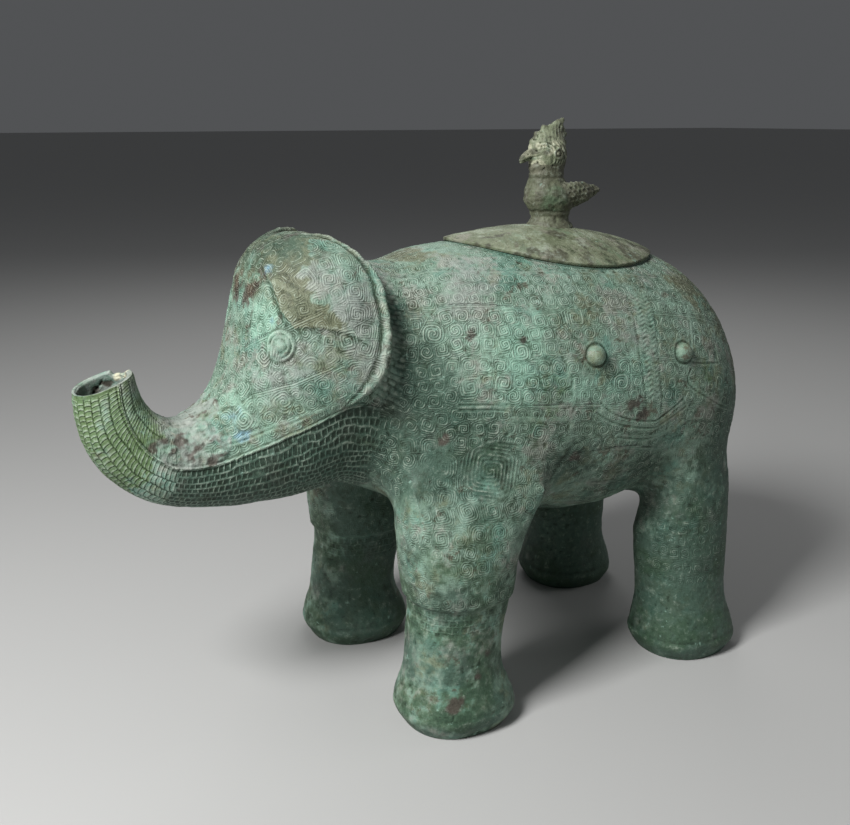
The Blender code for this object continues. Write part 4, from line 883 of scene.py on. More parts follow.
# Specks: a few small spots of cream crust, blue and rust.
cream = patch((17.0, 70.0, 3.5, 0.7), (20.3, 40.0, 5.0, 0.5), (20.4, 60.0, 4.0, 0.6), (19.0, 30.0, 4.0, 0.4))
blue = patch((17.1, 74.5, 4.5, 1.0), (16.9, 77.0, 4.0, 0.9), (13.9, 24.0, 4.5, 0.7), (17.4, 52.0, 9.0, 0.4),
             (18.2, 30.0, 8.0, 0.4), (14.6, 46.0, 3.0, 0.4), (12.6, 88.0, 6.0, 0.3))
rust = patch((14.7, 12.0, 7.0, 0.5), (14.4, 10.0, 6.0, 0.4), (12.2, 8.0, 7.0, 0.4), (11.6, 6.0, 6.0, 0.3),
             (16.2, 50.0, 3.5, 0.4), (9.6, 105.0, 4.0, 0.4), (15.4, 76.0, 3.0, 0.4))
cream, blue, rust = cream * (0.6 + 1.2 * ragged), blue * (0.75 + 0.9 * ragged), rust * (0.8 + 1.1 * ragged)

# The far side: the near half mirrored about the middle, where the two share the points of the seam.
# Each half carries the same values to shade it by. Sides: 0 left, 1 right, 2 the bore, which crosses
# the middle. Pieces: 0 body, 1 legs, 2 head, 3 trunk.
half_count = len(points)
off_plane = np.flatnonzero(points[:, 1] != 0.0)
mirror_of = np.arange(half_count)
mirror_of[off_plane] = half_count + np.arange(len(off_plane))
flip = np.array([1.0, -1.0, 1.0])
all_points = np.concatenate([moved, moved[off_plane] * flip])
all_quads = np.concatenate([quads, mirror_of[quads[:, ::-1]]])
all_triangles = np.concatenate([triangles, mirror_of[triangles[:, ::-1]]])
side = np.repeat([0, 1], len(quads))
triangle_side = np.repeat([0, 1], len(triangles))
quad_name = np.concatenate([quad_piece, quad_piece])
triangle_name = np.concatenate([triangle_piece, triangle_piece])
in_trunk = (part[quads] == 2).any(axis=1)
quad_name[np.tile(in_trunk, 2)] = 3


def both(values):
    """The near half's values, then the far half's, which are the same off the middle plane."""
    return np.concatenate([values, values[off_plane]])


def beside(*columns):
    """Values side by side along a last axis, a lone number repeated to match the others."""
    return np.stack(np.broadcast_arrays(*columns), axis=-1)


field = both(beside(to_rim, carved_spirals, cavity))
scales = both(beside(row, column, scale_weight))
waves_at = both(beside(waves * 0.5 + 0.5, in_band, strip))
lines_at = both(beside(in_period, chin | on_leg, ear_edge))
tones = both(beside(olive, mint, grey))
more_tones = both(beside(yellow, shade_and_dark_patina, brown))
specks = both(np.clip(beside(cream, blue, rust), 0.0, 1.0))

# The trunk's lip and bore: the wall turns in over its 3 mm at the mouth and runs down inside.
# It is crusted, cracked on the far side, and has a shallow bite out of its far rim.
MM_PER_STATION, MM_PER_DEGREE, BORE_STATIONS = 7.9, 0.36, 3.0
LIP_INSETS, BORE_INSET = (0.35, 1.0, 1.6, 2.3, 2.9), 3.3
LIP_DEPTHS = (0.0, 0.0, 0.0, 0.0, 0.10)
CRACK = np.array([(0.0, 76.0), (4.0, 80.0), (6.0, 96.0), (9.0, 112.0), (15.0, 108.0), (24.0, 116.0)])
CLEAR = 9.0


def tube_faces(ring):
    """Quads round a tube, between each ring of point numbers and the next."""
    on = np.roll(ring, -1, axis=1)
    return np.stack([ring[:-1], ring[1:], on[1:], on[:-1]], axis=-1).reshape(-1, 4)


last_ring = np.flatnonzero((part == 2) & (station > MOUTH - 1e-6))
last_ring = last_ring[np.argsort(angle[last_ring])]
rim_loop = np.concatenate([last_ring, mirror_of[last_ring][::-1][1:-1]])
rim_angle = np.concatenate([angle[last_ring], angle[last_ring][::-1][1:-1]])
rim_side = np.where(np.arange(len(rim_loop)) < len(last_ring), 1.0, -1.0)
insets = np.concatenate([LIP_INSETS, np.full(30, BORE_INSET)])
depths = np.concatenate([LIP_DEPTHS, np.linspace(0.04, BORE_STATIONS, 30)])
bore_station, bore_angle = np.meshgrid(MOUTH - depths, rim_angle, indexing="ij")
bore_normal = outward(bore_station, bore_angle)
bore = skin(bore_station, bore_angle) - bore_normal * insets[:, None, None]
bore[..., 1] *= rim_side
bore_normal[..., 1] *= rim_side
flat_bore = bore.reshape(-1, 3)
lumps = (cloud(flat_bore, 6.0, 41) + 0.6 * cloud(flat_bore, 2.4, 42)).reshape(bore.shape[:2])
bore_mm = MM_PER_STATION * (MOUTH - bore_station)
bore_degrees = np.degrees(bore_angle)
crack = ridge((bore_degrees - np.interp(bore_mm, *CRACK.T)) * MM_PER_DEGREE, 0.9)
crack *= (rim_side < 0.0) * ease(bore_mm, 2.5, 4.5)
sunk = crack * 1.3 - np.clip(lumps, -0.5, 1.1) * ease(depths, 0.1, 0.6)[:, None] * 0.7
bore += bore_normal * sunk[..., None]
bore_index = len(all_points) + np.arange(lumps.size).reshape(lumps.shape)
bore_quads = tube_faces(np.concatenate([rim_loop[None], bore_index]))
all_points = np.concatenate([all_points, bore.reshape(-1, 3)])
all_quads = np.concatenate([all_quads, bore_quads])
side = np.concatenate([side, np.full(len(bore_quads), 2)])
quad_name = np.concatenate([quad_name, np.full(len(bore_quads), 3)])


def with_bore(values, *columns):
    """The casting's values followed by the bore's, which are given side by side."""
    return np.concatenate([values, beside(*columns).reshape(-1, 3)])


plain = np.zeros(lumps.shape)
rough_bore = np.clip(0.5 + 0.6 * lumps, 0.0, 1.0)
in_bore = ease(bore_mm, 0.5, 2.0)
crusted = (rim_side < 0.0) * (1.0 - ease(bore_degrees, 45.0, 62.0)) * (1.0 - ease(bore_mm, 5.0, 9.0))
crusted *= rough_bore
bore_brown = np.clip(0.9 * crack + in_bore * ease(-rough_bore, -0.5, -0.1), 0.0, 1.0)
bore_blue = 0.3 * in_bore * ease(lumps, 0.2, 0.7) * (1.0 - crusted)
field = with_bore(field, CLEAR, 0.0, lumps * 0.5 - crack)
scales = with_bore(scales, plain, 0.0, 0.0)
waves_at = with_bore(waves_at, plain, 0.0, 0.0)
lines_at = with_bore(lines_at, plain, 0.0, 0.0)
tones = with_bore(tones, 0.3 * in_bore * (1.0 - rough_bore), 0.2 * rough_bore, 0.55 * rough_bore + 0.25)
# Painted shade: the dark green grows deeper down the bore.
more_tones = with_bore(more_tones, 0.0, ease(bore_mm, 8.0, 20.0), bore_brown)
specks = with_bore(specks, crusted, bore_blue, 0.25 * crusted)
lip_gap = both(np.where(part == 2, (MOUTH - station) * MM_PER_STATION, NOWHERE))
lip_gap = np.concatenate([lip_gap, bore_mm.ravel()])
lip_degrees = np.concatenate([both(degrees), bore_degrees.ravel()])
bite = 2.8 * ease(lip_degrees, 4.0, 14.0) * (1.0 - ease(lip_degrees, 54.0, 60.0)) * (all_points[:, 1] > 0.0)
bite *= 1.0 + 0.25 * cloud(all_points, 2.5, 43)
bite += 0.35 * np.clip(cloud(all_points, 3.5, 44), 0.0, 1.0)
bite *= 1.0 - ease(lip_gap, 0.5, 8.0)
lip_out = np.array([-19.9, 0.0, 65.7]) / np.linalg.norm((-19.9, 65.7))
all_points -= lip_out * bite[:, None]
all_normals = normals_of(all_points, all_quads, all_triangles)

# The hole in the back that the wine goes in by: an oval cut 10 mm inside the lid's edge. The faces
# in it are left out, and the edge that they leave is moved onto the oval.
HOLE_INSET = 10.0
HOLE_LENGTH, HOLE_WIDTH = LID_HALF_LENGTH - HOLE_INSET, LID_HALF_WIDTH - HOLE_INSET


def hole_place(at):
    """Root of the sum of squares of x and y over the hole's half lengths: 1 on the oval."""
    return np.sqrt(((at[..., 0] - LID_X) / HOLE_LENGTH) ** 2 + (at[..., 1] / HOLE_WIDTH) ** 2)


def cut_oval(at, faces):
    """Moves the edge points of the faces in the hole onto its oval, and tells those faces."""
    middle = at[faces].mean(axis=1)
    in_hole = (hole_place(middle) < 1.0) & (middle[:, 2] > BACK_LEVEL)
    edge = np.intersect1d(faces[in_hole], faces[~in_hole])
    edge = edge[at[edge, 2] > BACK_LEVEL]
    to_oval = hole_place(at[edge])
    at[edge, 0] = LID_X + (at[edge, 0] - LID_X) / to_oval
    at[edge, 1] /= to_oval
    return in_hole


open_quad = cut_oval(all_points, all_quads)


def motif_corners(faces):
    """Each face's corners in the frame of the spiral nearest to its middle, with its seed."""
    owner, _ = nearest(points[faces].mean(axis=1), bare_normals[faces[:, 0]])
    in_x, in_y = spiral_place(points[faces], owner[:, None])
    return beside(in_x, in_y, seeds[owner][:, None])


left_quad_corners = motif_corners(quads)
left_triangle_corners = motif_corners(triangles)
quad_corners = np.concatenate([left_quad_corners, left_quad_corners[:, ::-1],
                               np.full((len(bore_quads), 4, 3), CLEAR)])
triangle_corners = np.concatenate([left_triangle_corners, left_triangle_corners[:, ::-1]])

# The casting is one wall of bronze. It is shown as two sides of the body, two pairs of legs, the head
# and the trunk with its bore, which meet edge to edge and share the wall's normals.
MM = 0.001


def casting_piece(name, quad_mask, triangle_mask, material):
    """A piece of the casting: its share of the faces, in metres, with the whole wall's normals."""
    four, three = all_quads[quad_mask], all_triangles[triangle_mask]
    used = np.unique(np.concatenate([four.ravel(), three.ravel()]))
    number = np.zeros(len(all_points), dtype=np.int32)
    number[used] = np.arange(len(used))
    loops = np.concatenate([number[four].ravel(), number[three].ravel()])
    mesh = bpy.data.meshes.new(name)
    mesh.vertices.add(len(used))
    mesh.vertices.foreach_set("co", (all_points[used] * MM).astype(np.float32).ravel())
    mesh.loops.add(len(loops))
    mesh.loops.foreach_set("vertex_index", loops.astype(np.int32))
    mesh.polygons.add(len(four) + len(three))
    starts = np.concatenate([4 * np.arange(len(four)), 4 * len(four) + 3 * np.arange(len(three))])
    mesh.polygons.foreach_set("loop_start", starts.astype(np.int32))
    mesh.update(calc_edges=True)
    mesh.validate()
    for title, values in (("field", field), ("scales", scales), ("band", waves_at), ("lines", lines_at),
                          ("tones", tones), ("more_tones", more_tones), ("specks", specks)):
        layer = mesh.attributes.new(title, "FLOAT_VECTOR", "POINT")
        layer.data.foreach_set("vector", values[used].astype(np.float32).ravel())
    layer = mesh.attributes.new("motif", "FLOAT_VECTOR", "CORNER")
    corners = np.concatenate([quad_corners[quad_mask].reshape(-1, 3),
                              triangle_corners[triangle_mask].reshape(-1, 3)])
    layer.data.foreach_set("vector", corners.astype(np.float32).ravel())
    mesh.shade_smooth()
    mesh.normals_split_custom_set_from_vertices(all_normals[used].astype(np.float32))
    mesh.materials.append(material)
    piece = bpy.data.objects.new(name, mesh)
    scene.collection.objects.link(piece)
    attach(piece, "root")
    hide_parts("vessel")


# The patina's own tones: worn bronze on the ears' rims, dirt with painted shade in grooves, rubbed
# threads with a painted highlight on them, pale crust and pits. They are mixed over the colours of the
# mesh's patches.
WORN_TONE, GROOVE_DIRT_AND_SHADE = (0.400, 0.415, 0.335, 1.0), (0.17, 0.21, 0.15, 1.0)
THREAD_WEAR_AND_HIGHLIGHT, CRUST_TONE = (0.52, 0.61, 0.50, 1.0), (0.36, 0.57, 0.47, 1.0)
PIT_TONE = (0.030, 0.030, 0.022, 1.0)


def node(tree, kind, inputs, out=0, **settings):
    """Adds a shader node, links or sets its inputs by name or number, and gives one output."""
    new = tree.nodes.new("ShaderNode" + kind)
    for setting, value in settings.items():
        setattr(new, setting, value)
    for place, value in inputs.items():
        if isinstance(value, bpy.types.NodeSocket):
            tree.links.new(value, new.inputs[place])
        else:
            new.inputs[place].default_value = value
    return new.outputs[out]


def bronze_patina(name, base, drifts, patches, carved_surface):
    """Matt patina: two base tones, drifts of colour from noise (scale, low, high, strength, tone) and
    the patches that the mesh carries (tone and strength of each) mixed in, pale on raised threads and
    dark in grooves. Spirals, scales and waves are sharpened by a bump."""
    material = bpy.data.materials.new(name)
    material.use_nodes = True
    tree = material.node_tree
    tree.nodes.clear()

    def calc(operation, a, b=0.0):
        """One operation on two numbers or sockets."""
        return node(tree, "Math", {0: a, 1: b}, operation=operation)

    def between(value, low, high, to_low=0.0, to_high=1.0):
        """A value's smoothed way from low to high, carried over to the way between two others."""
        return node(tree, "MapRange", {"Value": value, "From Min": low, "From Max": high, "To Min": to_low,
                                       "To Max": to_high}, interpolation_type="SMOOTHSTEP")

    def mixed(share, a, b, blend="MIX"):
        """Colour a with a share of colour b."""
        return node(tree, "Mix", {0: share, 6: a, 7: b}, out=2, data_type="RGBA", blend_type=blend)

    def noise(scale, detail=3.0, rough=0.55, seed=0.0):
        """Fractal noise about 0.5 in the object's own space, another one for each seed."""
        return node(tree, "TexNoise", {"Vector": place, "W": seed, "Scale": scale, "Detail": detail,
                                       "Roughness": rough}, noise_dimensions="4D")

    def attribute(title):
        """The three values that the mesh carries under a title."""
        vector = node(tree, "Attribute", {}, out=1, attribute_name=title)
        split = tree.nodes.new("ShaderNodeSeparateXYZ")
        tree.links.new(vector, split.inputs[0])
        return split.outputs

    place = node(tree, "TexCoord", {}, out=3)
    grain, blotch, speck = noise(430.0, 4.0, 0.65), noise(110.0, 5.0, 0.65), noise(1100.0, 2.0)
    colour = mixed(between(noise(38.0, 6.0, 0.66), 0.38, 0.62), base[0], base[1])
    for seed, (scale, low, high, strength, tone) in enumerate(drifts):
        share = between(noise(scale, 6.0, 0.68, 3.7 * seed + 1.3), low, high, 0.0, strength)
        colour = mixed(share, colour, tone)
    break_up = calc("MULTIPLY", calc("SUBTRACT", blotch, 0.5), 1.5)
    for title, three in patches:
        for amount, (tone, strength) in zip(attribute(title), three):
            ragged_edge = calc("MULTIPLY", break_up, between(amount, 0.0, 0.2))
            share = between(calc("ADD", amount, ragged_edge), 0.15, 0.80, 0.0, strength)
            colour = mixed(share, colour, tone)
    if carved_surface:
        rim, carve, hollow = attribute("field")
        along, across, scaled = attribute("scales")
        wave, in_band, straight = attribute("band")
        x, y, seed = attribute("motif")
        power_of = calc("ADD", ROUND_POWER, calc("MULTIPLY", seed, MORE_POWER))
        powers = [calc("POWER", calc("ABSOLUTE", way), power_of) for way in (x, y)]
        far = calc("POWER", calc("ADD", *powers), calc("DIVIDE", 1.0, power_of))
        turn = calc("MULTIPLY", calc("ARCTAN2", y, x), 1.0 / np.pi)
        phase = calc("ADD", calc("SUBTRACT", calc("DIVIDE", far, THREAD), turn), calc("MULTIPLY", seed, 2.0))
        thread = calc("COSINE", calc("MULTIPLY", phase, 2.0 * np.pi))
        edge_thread = calc("COSINE", calc("MULTIPLY", rim, 2.0 * np.pi / THREAD))
        thread = node(tree, "Mix", {0: between(rim, 0.7, 1.3), 2: edge_thread, 3: thread}, data_type="FLOAT")
        thread = calc("MULTIPLY", calc("SUBTRACT", between(thread, -0.60, 0.80), 0.5), carve)
        in_strip, chin, ear_edge = attribute("lines")
        line = calc("COSINE", calc("MULTIPLY", in_strip, 2.0 * np.pi / THREAD))
        line = calc("MULTIPLY", calc("SUBTRACT", between(line, -0.6, 0.8), 0.5), straight)
        saw = calc("FRACT", along)
        scale_edge = between(saw, 0.0, 0.10, -0.7, 0.75)
        scale_edge = calc("MULTIPLY", scale_edge, between(saw, 0.16, 0.55, 1.0, 0.12))
        scale_edge = calc("SUBTRACT", scale_edge, between(saw, 0.80, 0.97, 0.0, 0.75))
        column_gap = calc("ABSOLUTE", calc("SUBTRACT", calc("FRACT", calc("ADD", across, 0.5)), 0.5))
        scale_edge = calc("SUBTRACT", scale_edge, between(column_gap, 0.0, 0.11, 0.75, 0.0))
        row_gap = calc("MINIMUM", saw, calc("SUBTRACT", 1.0, saw))
        wall_gap = calc("MINIMUM", row_gap, calc("MULTIPLY", column_gap, 0.9))
        cell = between(wall_gap, 0.04, 0.20, 0.75, -0.60)
        cell = calc("MULTIPLY", cell, between(blotch, 0.30, 0.62, 0.35, 1.1))
        cell = calc("SUBTRACT", calc("MULTIPLY", cell, 0.85), 0.22)
        scale_edge = node(tree, "Mix", {0: chin, 2: scale_edge, 3: cell}, data_type="FLOAT")
        scale_form = calc("MULTIPLY", scale_edge, scaled)
        wave_form = calc("MULTIPLY", calc("SUBTRACT", wave, 0.5), in_band)
        wear = between(noise(60.0, 4.0, 0.6, 7.0), 0.36, 0.62, 0.35, 1.15)
        carving = calc("ADD", calc("MULTIPLY", calc("ADD", thread, line), wear),
                       calc("ADD", calc("MULTIPLY", scale_form, 0.85), calc("MULTIPLY", wave_form, 0.6)))
        worn_edge = calc("MULTIPLY", ear_edge, between(blotch, 0.42, 0.62))
        colour = mixed(calc("MULTIPLY", worn_edge, 0.5), colour, WORN_TONE)
    else:
        hollow = attribute("field")[2]
        carving = calc("MULTIPLY", calc("SUBTRACT", blotch, 0.5), 1.1)
    # The heights of the carving and the hollows, with noise, colour the surface: dark in grooves and gaps
    # between scales, pale on raised threads and scale edges. This is partly dirt and wear and partly painted
    # shade and highlight.
    light = calc("ADD", calc("MULTIPLY", carving, 0.72), calc("MULTIPLY", hollow, 0.75))
    light = calc("ADD", light, calc("MULTIPLY", calc("SUBTRACT", grain, 0.5), 1.5))
    light = calc("ADD", light, calc("MULTIPLY", calc("SUBTRACT", blotch, 0.5), 0.9))
    light = calc("ADD", light, calc("MULTIPLY", calc("SUBTRACT", speck, 0.5), 0.7))
    colour = mixed(between(light, -0.80, 0.08, 0.88, 0.0), colour, GROOVE_DIRT_AND_SHADE, blend="MULTIPLY")
    colour = mixed(between(light, 0.05, 0.85, 0.0, 0.42), colour, THREAD_WEAR_AND_HIGHLIGHT)
    crust = between(noise(150.0, 3.0, 0.6, 5.0), 0.64, 0.72)
    colour = mixed(calc("MULTIPLY", crust, 0.4), colour, CRUST_TONE)
    cells = node(tree, "TexVoronoi", {"Vector": place, "Scale": 210.0, "Randomness": 1.0})
    pit = between(cells, 0.0, 0.16, 1.0, 0.0)
    pit = calc("MULTIPLY", pit, between(noise(45.0, 2.0, 0.5, 9.0), 0.50, 0.60))
    colour = mixed(calc("MULTIPLY", pit, 0.75), colour, PIT_TONE)
    fine = calc("ADD", calc("MULTIPLY", grain, 1.1), calc("MULTIPLY", speck, 0.45))
    fine = calc("ADD", fine, calc("MULTIPLY", blotch, 0.9))
    bumps = calc("ADD", carving, calc("SUBTRACT", fine, calc("MULTIPLY", pit, 0.5)))
    bumped = node(tree, "Bump", {"Strength": 1.0, "Distance": 0.00050, "Height": bumps})
    shader = tree.nodes.new("ShaderNodeBsdfPrincipled")
    tree.links.new(colour, shader.inputs["Base Color"])
    tree.links.new(between(grain, 0.3, 0.7, 0.48, 0.72), shader.inputs["Roughness"])
    tree.links.new(bumped, shader.inputs["Normal"])
    shader.inputs["Metallic"].default_value = 0.0
    shader.inputs["Specular IOR Level"].default_value = 0.36
    output = tree.nodes.new("ShaderNodeOutputMaterial")
    tree.links.new(shader.outputs[0], output.inputs["Surface"])
    return material


# Drifts: the noise's scale, the values that it fades in between, the strength and the tone.
GREEN_DRIFTS = ((30.0, 0.50, 0.62, 0.60, (0.110, 0.262, 0.205, 1.0)),
                (36.0, 0.51, 0.62, 0.70, (0.300, 0.300, 0.262, 1.0)),
                (48.0, 0.52, 0.64, 0.70, (0.165, 0.185, 0.105, 1.0)),
                (24.0, 0.54, 0.68, 0.50, (0.300, 0.470, 0.375, 1.0)),
                (85.0, 0.57, 0.64, 0.80, (0.105, 0.095, 0.064, 1.0)),
                (130.0, 0.60, 0.70, 0.45, (0.360, 0.400, 0.350, 1.0)))
OLIVE, MINT, GREY = (0.135, 0.145, 0.085, 1.0), (0.275, 0.470, 0.360, 1.0), (0.265, 0.285, 0.262, 1.0)
# The second of these, a dark green, is painted shade with some dark patina.
YELLOW, SHADE_AND_DARK_PATINA, BROWN = (0.088, 0.150, 0.046, 1.0), (0.032, 0.072, 0.049, 1.0), (0.075, 0.060, 0.048, 1.0)
CREAM, BLUE, RUST = (0.560, 0.530, 0.380, 1.0), (0.215, 0.400, 0.520, 1.0), (0.180, 0.115, 0.070, 1.0)
green_patina = bronze_patina(
    "green_patina", ((0.170, 0.265, 0.195, 1.0), (0.225, 0.330, 0.262, 1.0)), GREEN_DRIFTS,
    (("tones", ((OLIVE, 0.88), (MINT, 0.70), (GREY, 0.80))),
     ("more_tones", ((YELLOW, 0.86), (SHADE_AND_DARK_PATINA, 0.82), (BROWN, 0.88))),
     ("specks", ((CREAM, 0.85), (BLUE, 0.75), (RUST, 0.50)))), True)
for piece_name, number, on_side in (("left_body", 0, 0), ("right_body", 0, 1), ("left_legs", 1, 0),
                                    ("right_legs", 1, 1), ("head", 2, None), ("trunk", 3, None)):
    chosen = (quad_name == number) & ~open_quad
    chosen_three = triangle_name == number
    if on_side is not None:
        chosen &= side == on_side
        chosen_three &= triangle_side == on_side
    casting_piece(piece_name, chosen, chosen_three, green_patina)


def simple_piece(name, points_mm, four, three, values, material, replaced):
    """A piece from points in millimetres, quads, triangles and values to shade it by."""
    mesh = bpy.data.meshes.new(name)
    mesh.from_pydata((points_mm * MM).tolist(), [], four.tolist() + three.tolist())
    for title, rows in values.items():
        layer = mesh.attributes.new(title, "FLOAT_VECTOR", "POINT")
        layer.data.foreach_set("vector", rows.astype(np.float32).ravel())
    mesh.shade_smooth()
    mesh.materials.append(material)
    piece = bpy.data.objects.new(name, mesh)
    scene.collection.objects.link(piece)
    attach(piece, "root")
    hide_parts(replaced)


# The inside of the casting: the core's smooth surface, about 3 mm below the outside and thicker at
# the legs' joints and the head, with the cut edge of the wall round the hole in the back.
WALL, JOINT_EXTRA, HEAD_EXTRA, BORE_END = 3.0, 2.5, 1.5, 22.4
core, core_quads, core_triangles, _, _, core_station, _, _, core_near = half_shell(
    rings=(20, 36, 24, 32, 10), fold=(4, 2, 18), face=12, trunk=60, columns=(60, 22, 6),
    joint=14, leg=20, rounds=90, with_ear=False)
at_head = ease(-core[:, 0], 30.0, 60.0) * (1.0 - ease(-core[:, 0], 150.0, 180.0))
core_wall = WALL + JOINT_EXTRA * core_near + HEAD_EXTRA * at_head
core = core - normals_of(core, core_quads, core_triangles) * core_wall[:, None]
core_off = np.flatnonzero(np.abs(core[:, 1]) > 1e-6)
core[np.abs(core[:, 1]) <= 1e-6, 1] = 0.0
core_mirror = np.arange(len(core))
core_mirror[core_off] = len(core) + np.arange(len(core_off))
core_station = np.concatenate([core_station, core_station[core_off]])
core_quads = np.concatenate([core_quads[:, ::-1], core_mirror[core_quads]])
core_triangles = np.concatenate([core_triangles[:, ::-1], core_mirror[core_triangles]])
core = np.concatenate([core, core[core_off] * flip])
core_open = cut_oval(core, core_quads)
core_quads = core_quads[~core_open & (core_station[core_quads] < BORE_END).all(axis=1)]
core_triangles = core_triangles[(core_station[core_triangles] < BORE_END).all(axis=1)]


def back_height(x, y):
    """Height of the bare back over a plan point: the superellipse of the section that stands there."""
    top_x, top_z, _, low_z, half, waist = spline(SECTIONS, SECTION_BENDS, np.linspace(1.0, 8.5, 400)).T
    order = np.argsort(top_x)
    top, low, reach, share = (np.interp(x + MIDDLE_X, top_x[order], column[order])
                              for column in (top_z, low_z, half, waist))
    middle = low + (top - low) * share
    across = np.clip(np.abs(y) / reach, 0.0, 0.999)
    return middle + (top - middle) * (1.0 - across ** SQUARENESS) ** (1.0 / SQUARENESS)


HOLE_SIDES = 300
EDGE_LIFTS = np.array([0.1, -1.0, -2.2, -4.0])
hole_turn = stretch(0.0, 2.0 * np.pi, HOLE_SIDES)
hole_x, hole_y = LID_X + HOLE_LENGTH * np.cos(hole_turn), HOLE_WIDTH * np.sin(hole_turn)
edge_wall = beside(hole_x, hole_y, back_height(hole_x, hole_y) + EDGE_LIFTS[:, None])
wall_quads = tube_faces(len(core) + np.arange(len(EDGE_LIFTS) * HOLE_SIDES).reshape(-1, HOLE_SIDES))
core = np.concatenate([core, edge_wall.reshape(-1, 3)])
core_lumps = cloud(core, 9.0, 51) + 0.5 * cloud(core, 4.0, 52)
casting_inside = bronze_patina(
    "casting_inside", ((0.150, 0.185, 0.140, 1.0), (0.210, 0.240, 0.195, 1.0)),
    ((30.0, 0.50, 0.64, 0.6, (0.105, 0.190, 0.145, 1.0)),
     (60.0, 0.56, 0.68, 0.6, (0.110, 0.090, 0.060, 1.0))), (), False)
simple_piece("inside", core, np.concatenate([core_quads, wall_quads]), core_triangles,
             {"field": beside(0.0, 0.0, 0.4 * core_lumps)}, casting_inside, "vessel")

# The lid: a second casting. An oval plate follows the back, a flange below it drops into the hole,
# and a crested bird is cast on it as the knob. Its patina is olive and khaki, the bird's head pale.
LID_GAP, LID_CROWN, LID_THICKNESS = 0.3, 5.0, 3.0
FLANGE_INSET, FLANGE_THICKNESS, FLANGE_DEPTH = 11.5, 3.0, 9.0
LID_SIDES = 320


def lid_underside(x, y):
    """The back's height, the gap, and a crown that rises as the square of nearness to the middle."""
    across = ((x - LID_X) / LID_HALF_LENGTH) ** 2 + (y / LID_HALF_WIDTH) ** 2
    return back_height(x, y) + LID_GAP + LID_CROWN * np.clip(1.0 - across, 0.0, 1.0)


def lid_ring(inset, lift):
    """Rings of the plate: ovals inset from its edge, less so across it, lifted square to its underside."""
    turn = stretch(0.0, 2.0 * np.pi, LID_SIDES)
    inset_across = LID_HALF_WIDTH * inset / LID_HALF_LENGTH + 0.25 * np.minimum(inset, 12.0)
    x = LID_X + (LID_HALF_LENGTH - inset)[:, None] * np.cos(turn)
    y = (LID_HALF_WIDTH - np.minimum(inset, inset_across))[:, None] * np.sin(turn)
    slope_x = lid_underside(x + 0.5, y) - lid_underside(x - 0.5, y)
    slope_y = lid_underside(x, y + 0.5) - lid_underside(x, y - 0.5)
    up = beside(-slope_x, -slope_y, 1.0)
    up /= np.linalg.norm(up, axis=-1, keepdims=True)
    return beside(x, y, lid_underside(x, y)) + up * lift[:, None, None]


on_top = LID_HALF_LENGTH * (1.0 - stretch(0.02, 0.985, 62))
edge_insets = (1.2, 0.5, 0.12, 0.0, 0.0, 0.15, 0.6, 4.0, 8.0)
edge_lifts = (LID_THICKNESS, 2.9, 2.6, 2.0, 1.0, 0.3, 0.0, 0.0, 0.0)
flange_side = np.array([-0.4, 0.0, 0.0, 0.0, 0.4])
flange_fall = np.array([0.0, -0.4, -4.0, 0.4 - FLANGE_DEPTH, -FLANGE_DEPTH])
below_lid = LID_HALF_LENGTH * (1.0 - np.linspace(0.80, 0.02, 16))
plate = lid_ring(np.concatenate([on_top, edge_insets, FLANGE_INSET + flange_side,
                                 FLANGE_INSET + FLANGE_THICKNESS + flange_side, below_lid]),
                 np.concatenate([np.full(len(on_top), LID_THICKNESS), edge_lifts, flange_fall,
                                 flange_fall[::-1], np.zeros(len(below_lid))]))
upper_rows = (np.arange(len(plate)) < len(on_top) + 2)[:, None]
flat_plate = plate.reshape(-1, 3)
plate_relief = 0.32 * cloud(flat_plate, 17.0, 61) + 0.22 * cloud(flat_plate, 6.0, 62)
plate_relief += 0.14 * cloud(flat_plate, 3.0, 63)
plate_pits = ease(cloud(flat_plate, 3.2, 64), 0.6, 0.85) * ease(cloud(flat_plate, 30.0, 65), 0.0, 0.5)
plate_relief -= 0.5 * plate_pits
plate_relief = plate_relief.reshape(plate.shape[:2]) * upper_rows
plate[..., 2] += np.minimum(plate_relief, 0.35)
ring = np.arange(plate_relief.size).reshape(plate_relief.shape)
plate_quads = tube_faces(ring)
poles = np.array([[LID_X, 0.0, plate[0, :, 2].mean()], [LID_X, 0.0, plate[-1, :, 2].mean()]])
top_pole = ring.size
plate_triangles = np.concatenate([beside(top_pole, ring[0], np.roll(ring[0], -1)),
                                  beside(top_pole + 1, np.roll(ring[-1], -1), ring[-1])])
plate_points = np.concatenate([plate.reshape(-1, 3), poles])
# Sunk parts of the plate are darkened and raised ones paled: partly dirt and wear, partly painted shade and
# highlight.
plate_hollow = np.concatenate([np.clip(plate_relief * 1.6, -1.0, 1.0).ravel(), [0.0, 0.0]])

# The bird: sections of its body, tail and beak on a scheme 80 high, with lumps for comb, wattle,
# wings and eyes. All are melted into one skin, and the feathers are then raised from it.
BIRD_SCALE = 81.0 / 80.0
BIRD_SECTIONS = np.array([  # height, middle x, half length, half width
    (-2.0, 0.5, 19.5, 18.0), (0.0, 0.5, 18.5, 17.0), (4.0, 0.5, 15.5, 14.0), (8.0, 1.0, 14.8, 13.5),
    (12.0, 1.0, 17.5, 14.5), (17.0, 1.0, 20.5, 16.5), (23.0, 0.5, 21.5, 17.0), (28.5, -1.0, 18.5, 15.0),
    (34.0, -2.5, 15.0, 12.0), (40.0, -3.0, 13.8, 11.0), (47.0, -2.5, 15.2, 11.8), (55.0, -2.5, 16.3, 12.0),
    (62.0, -3.0, 15.0, 9.0), (68.0, -1.0, 12.5, 5.5), (73.0, 3.0, 9.0, 3.6), (77.5, 7.5, 4.6, 2.4),
    (80.0, 10.5, 1.6, 1.2)])
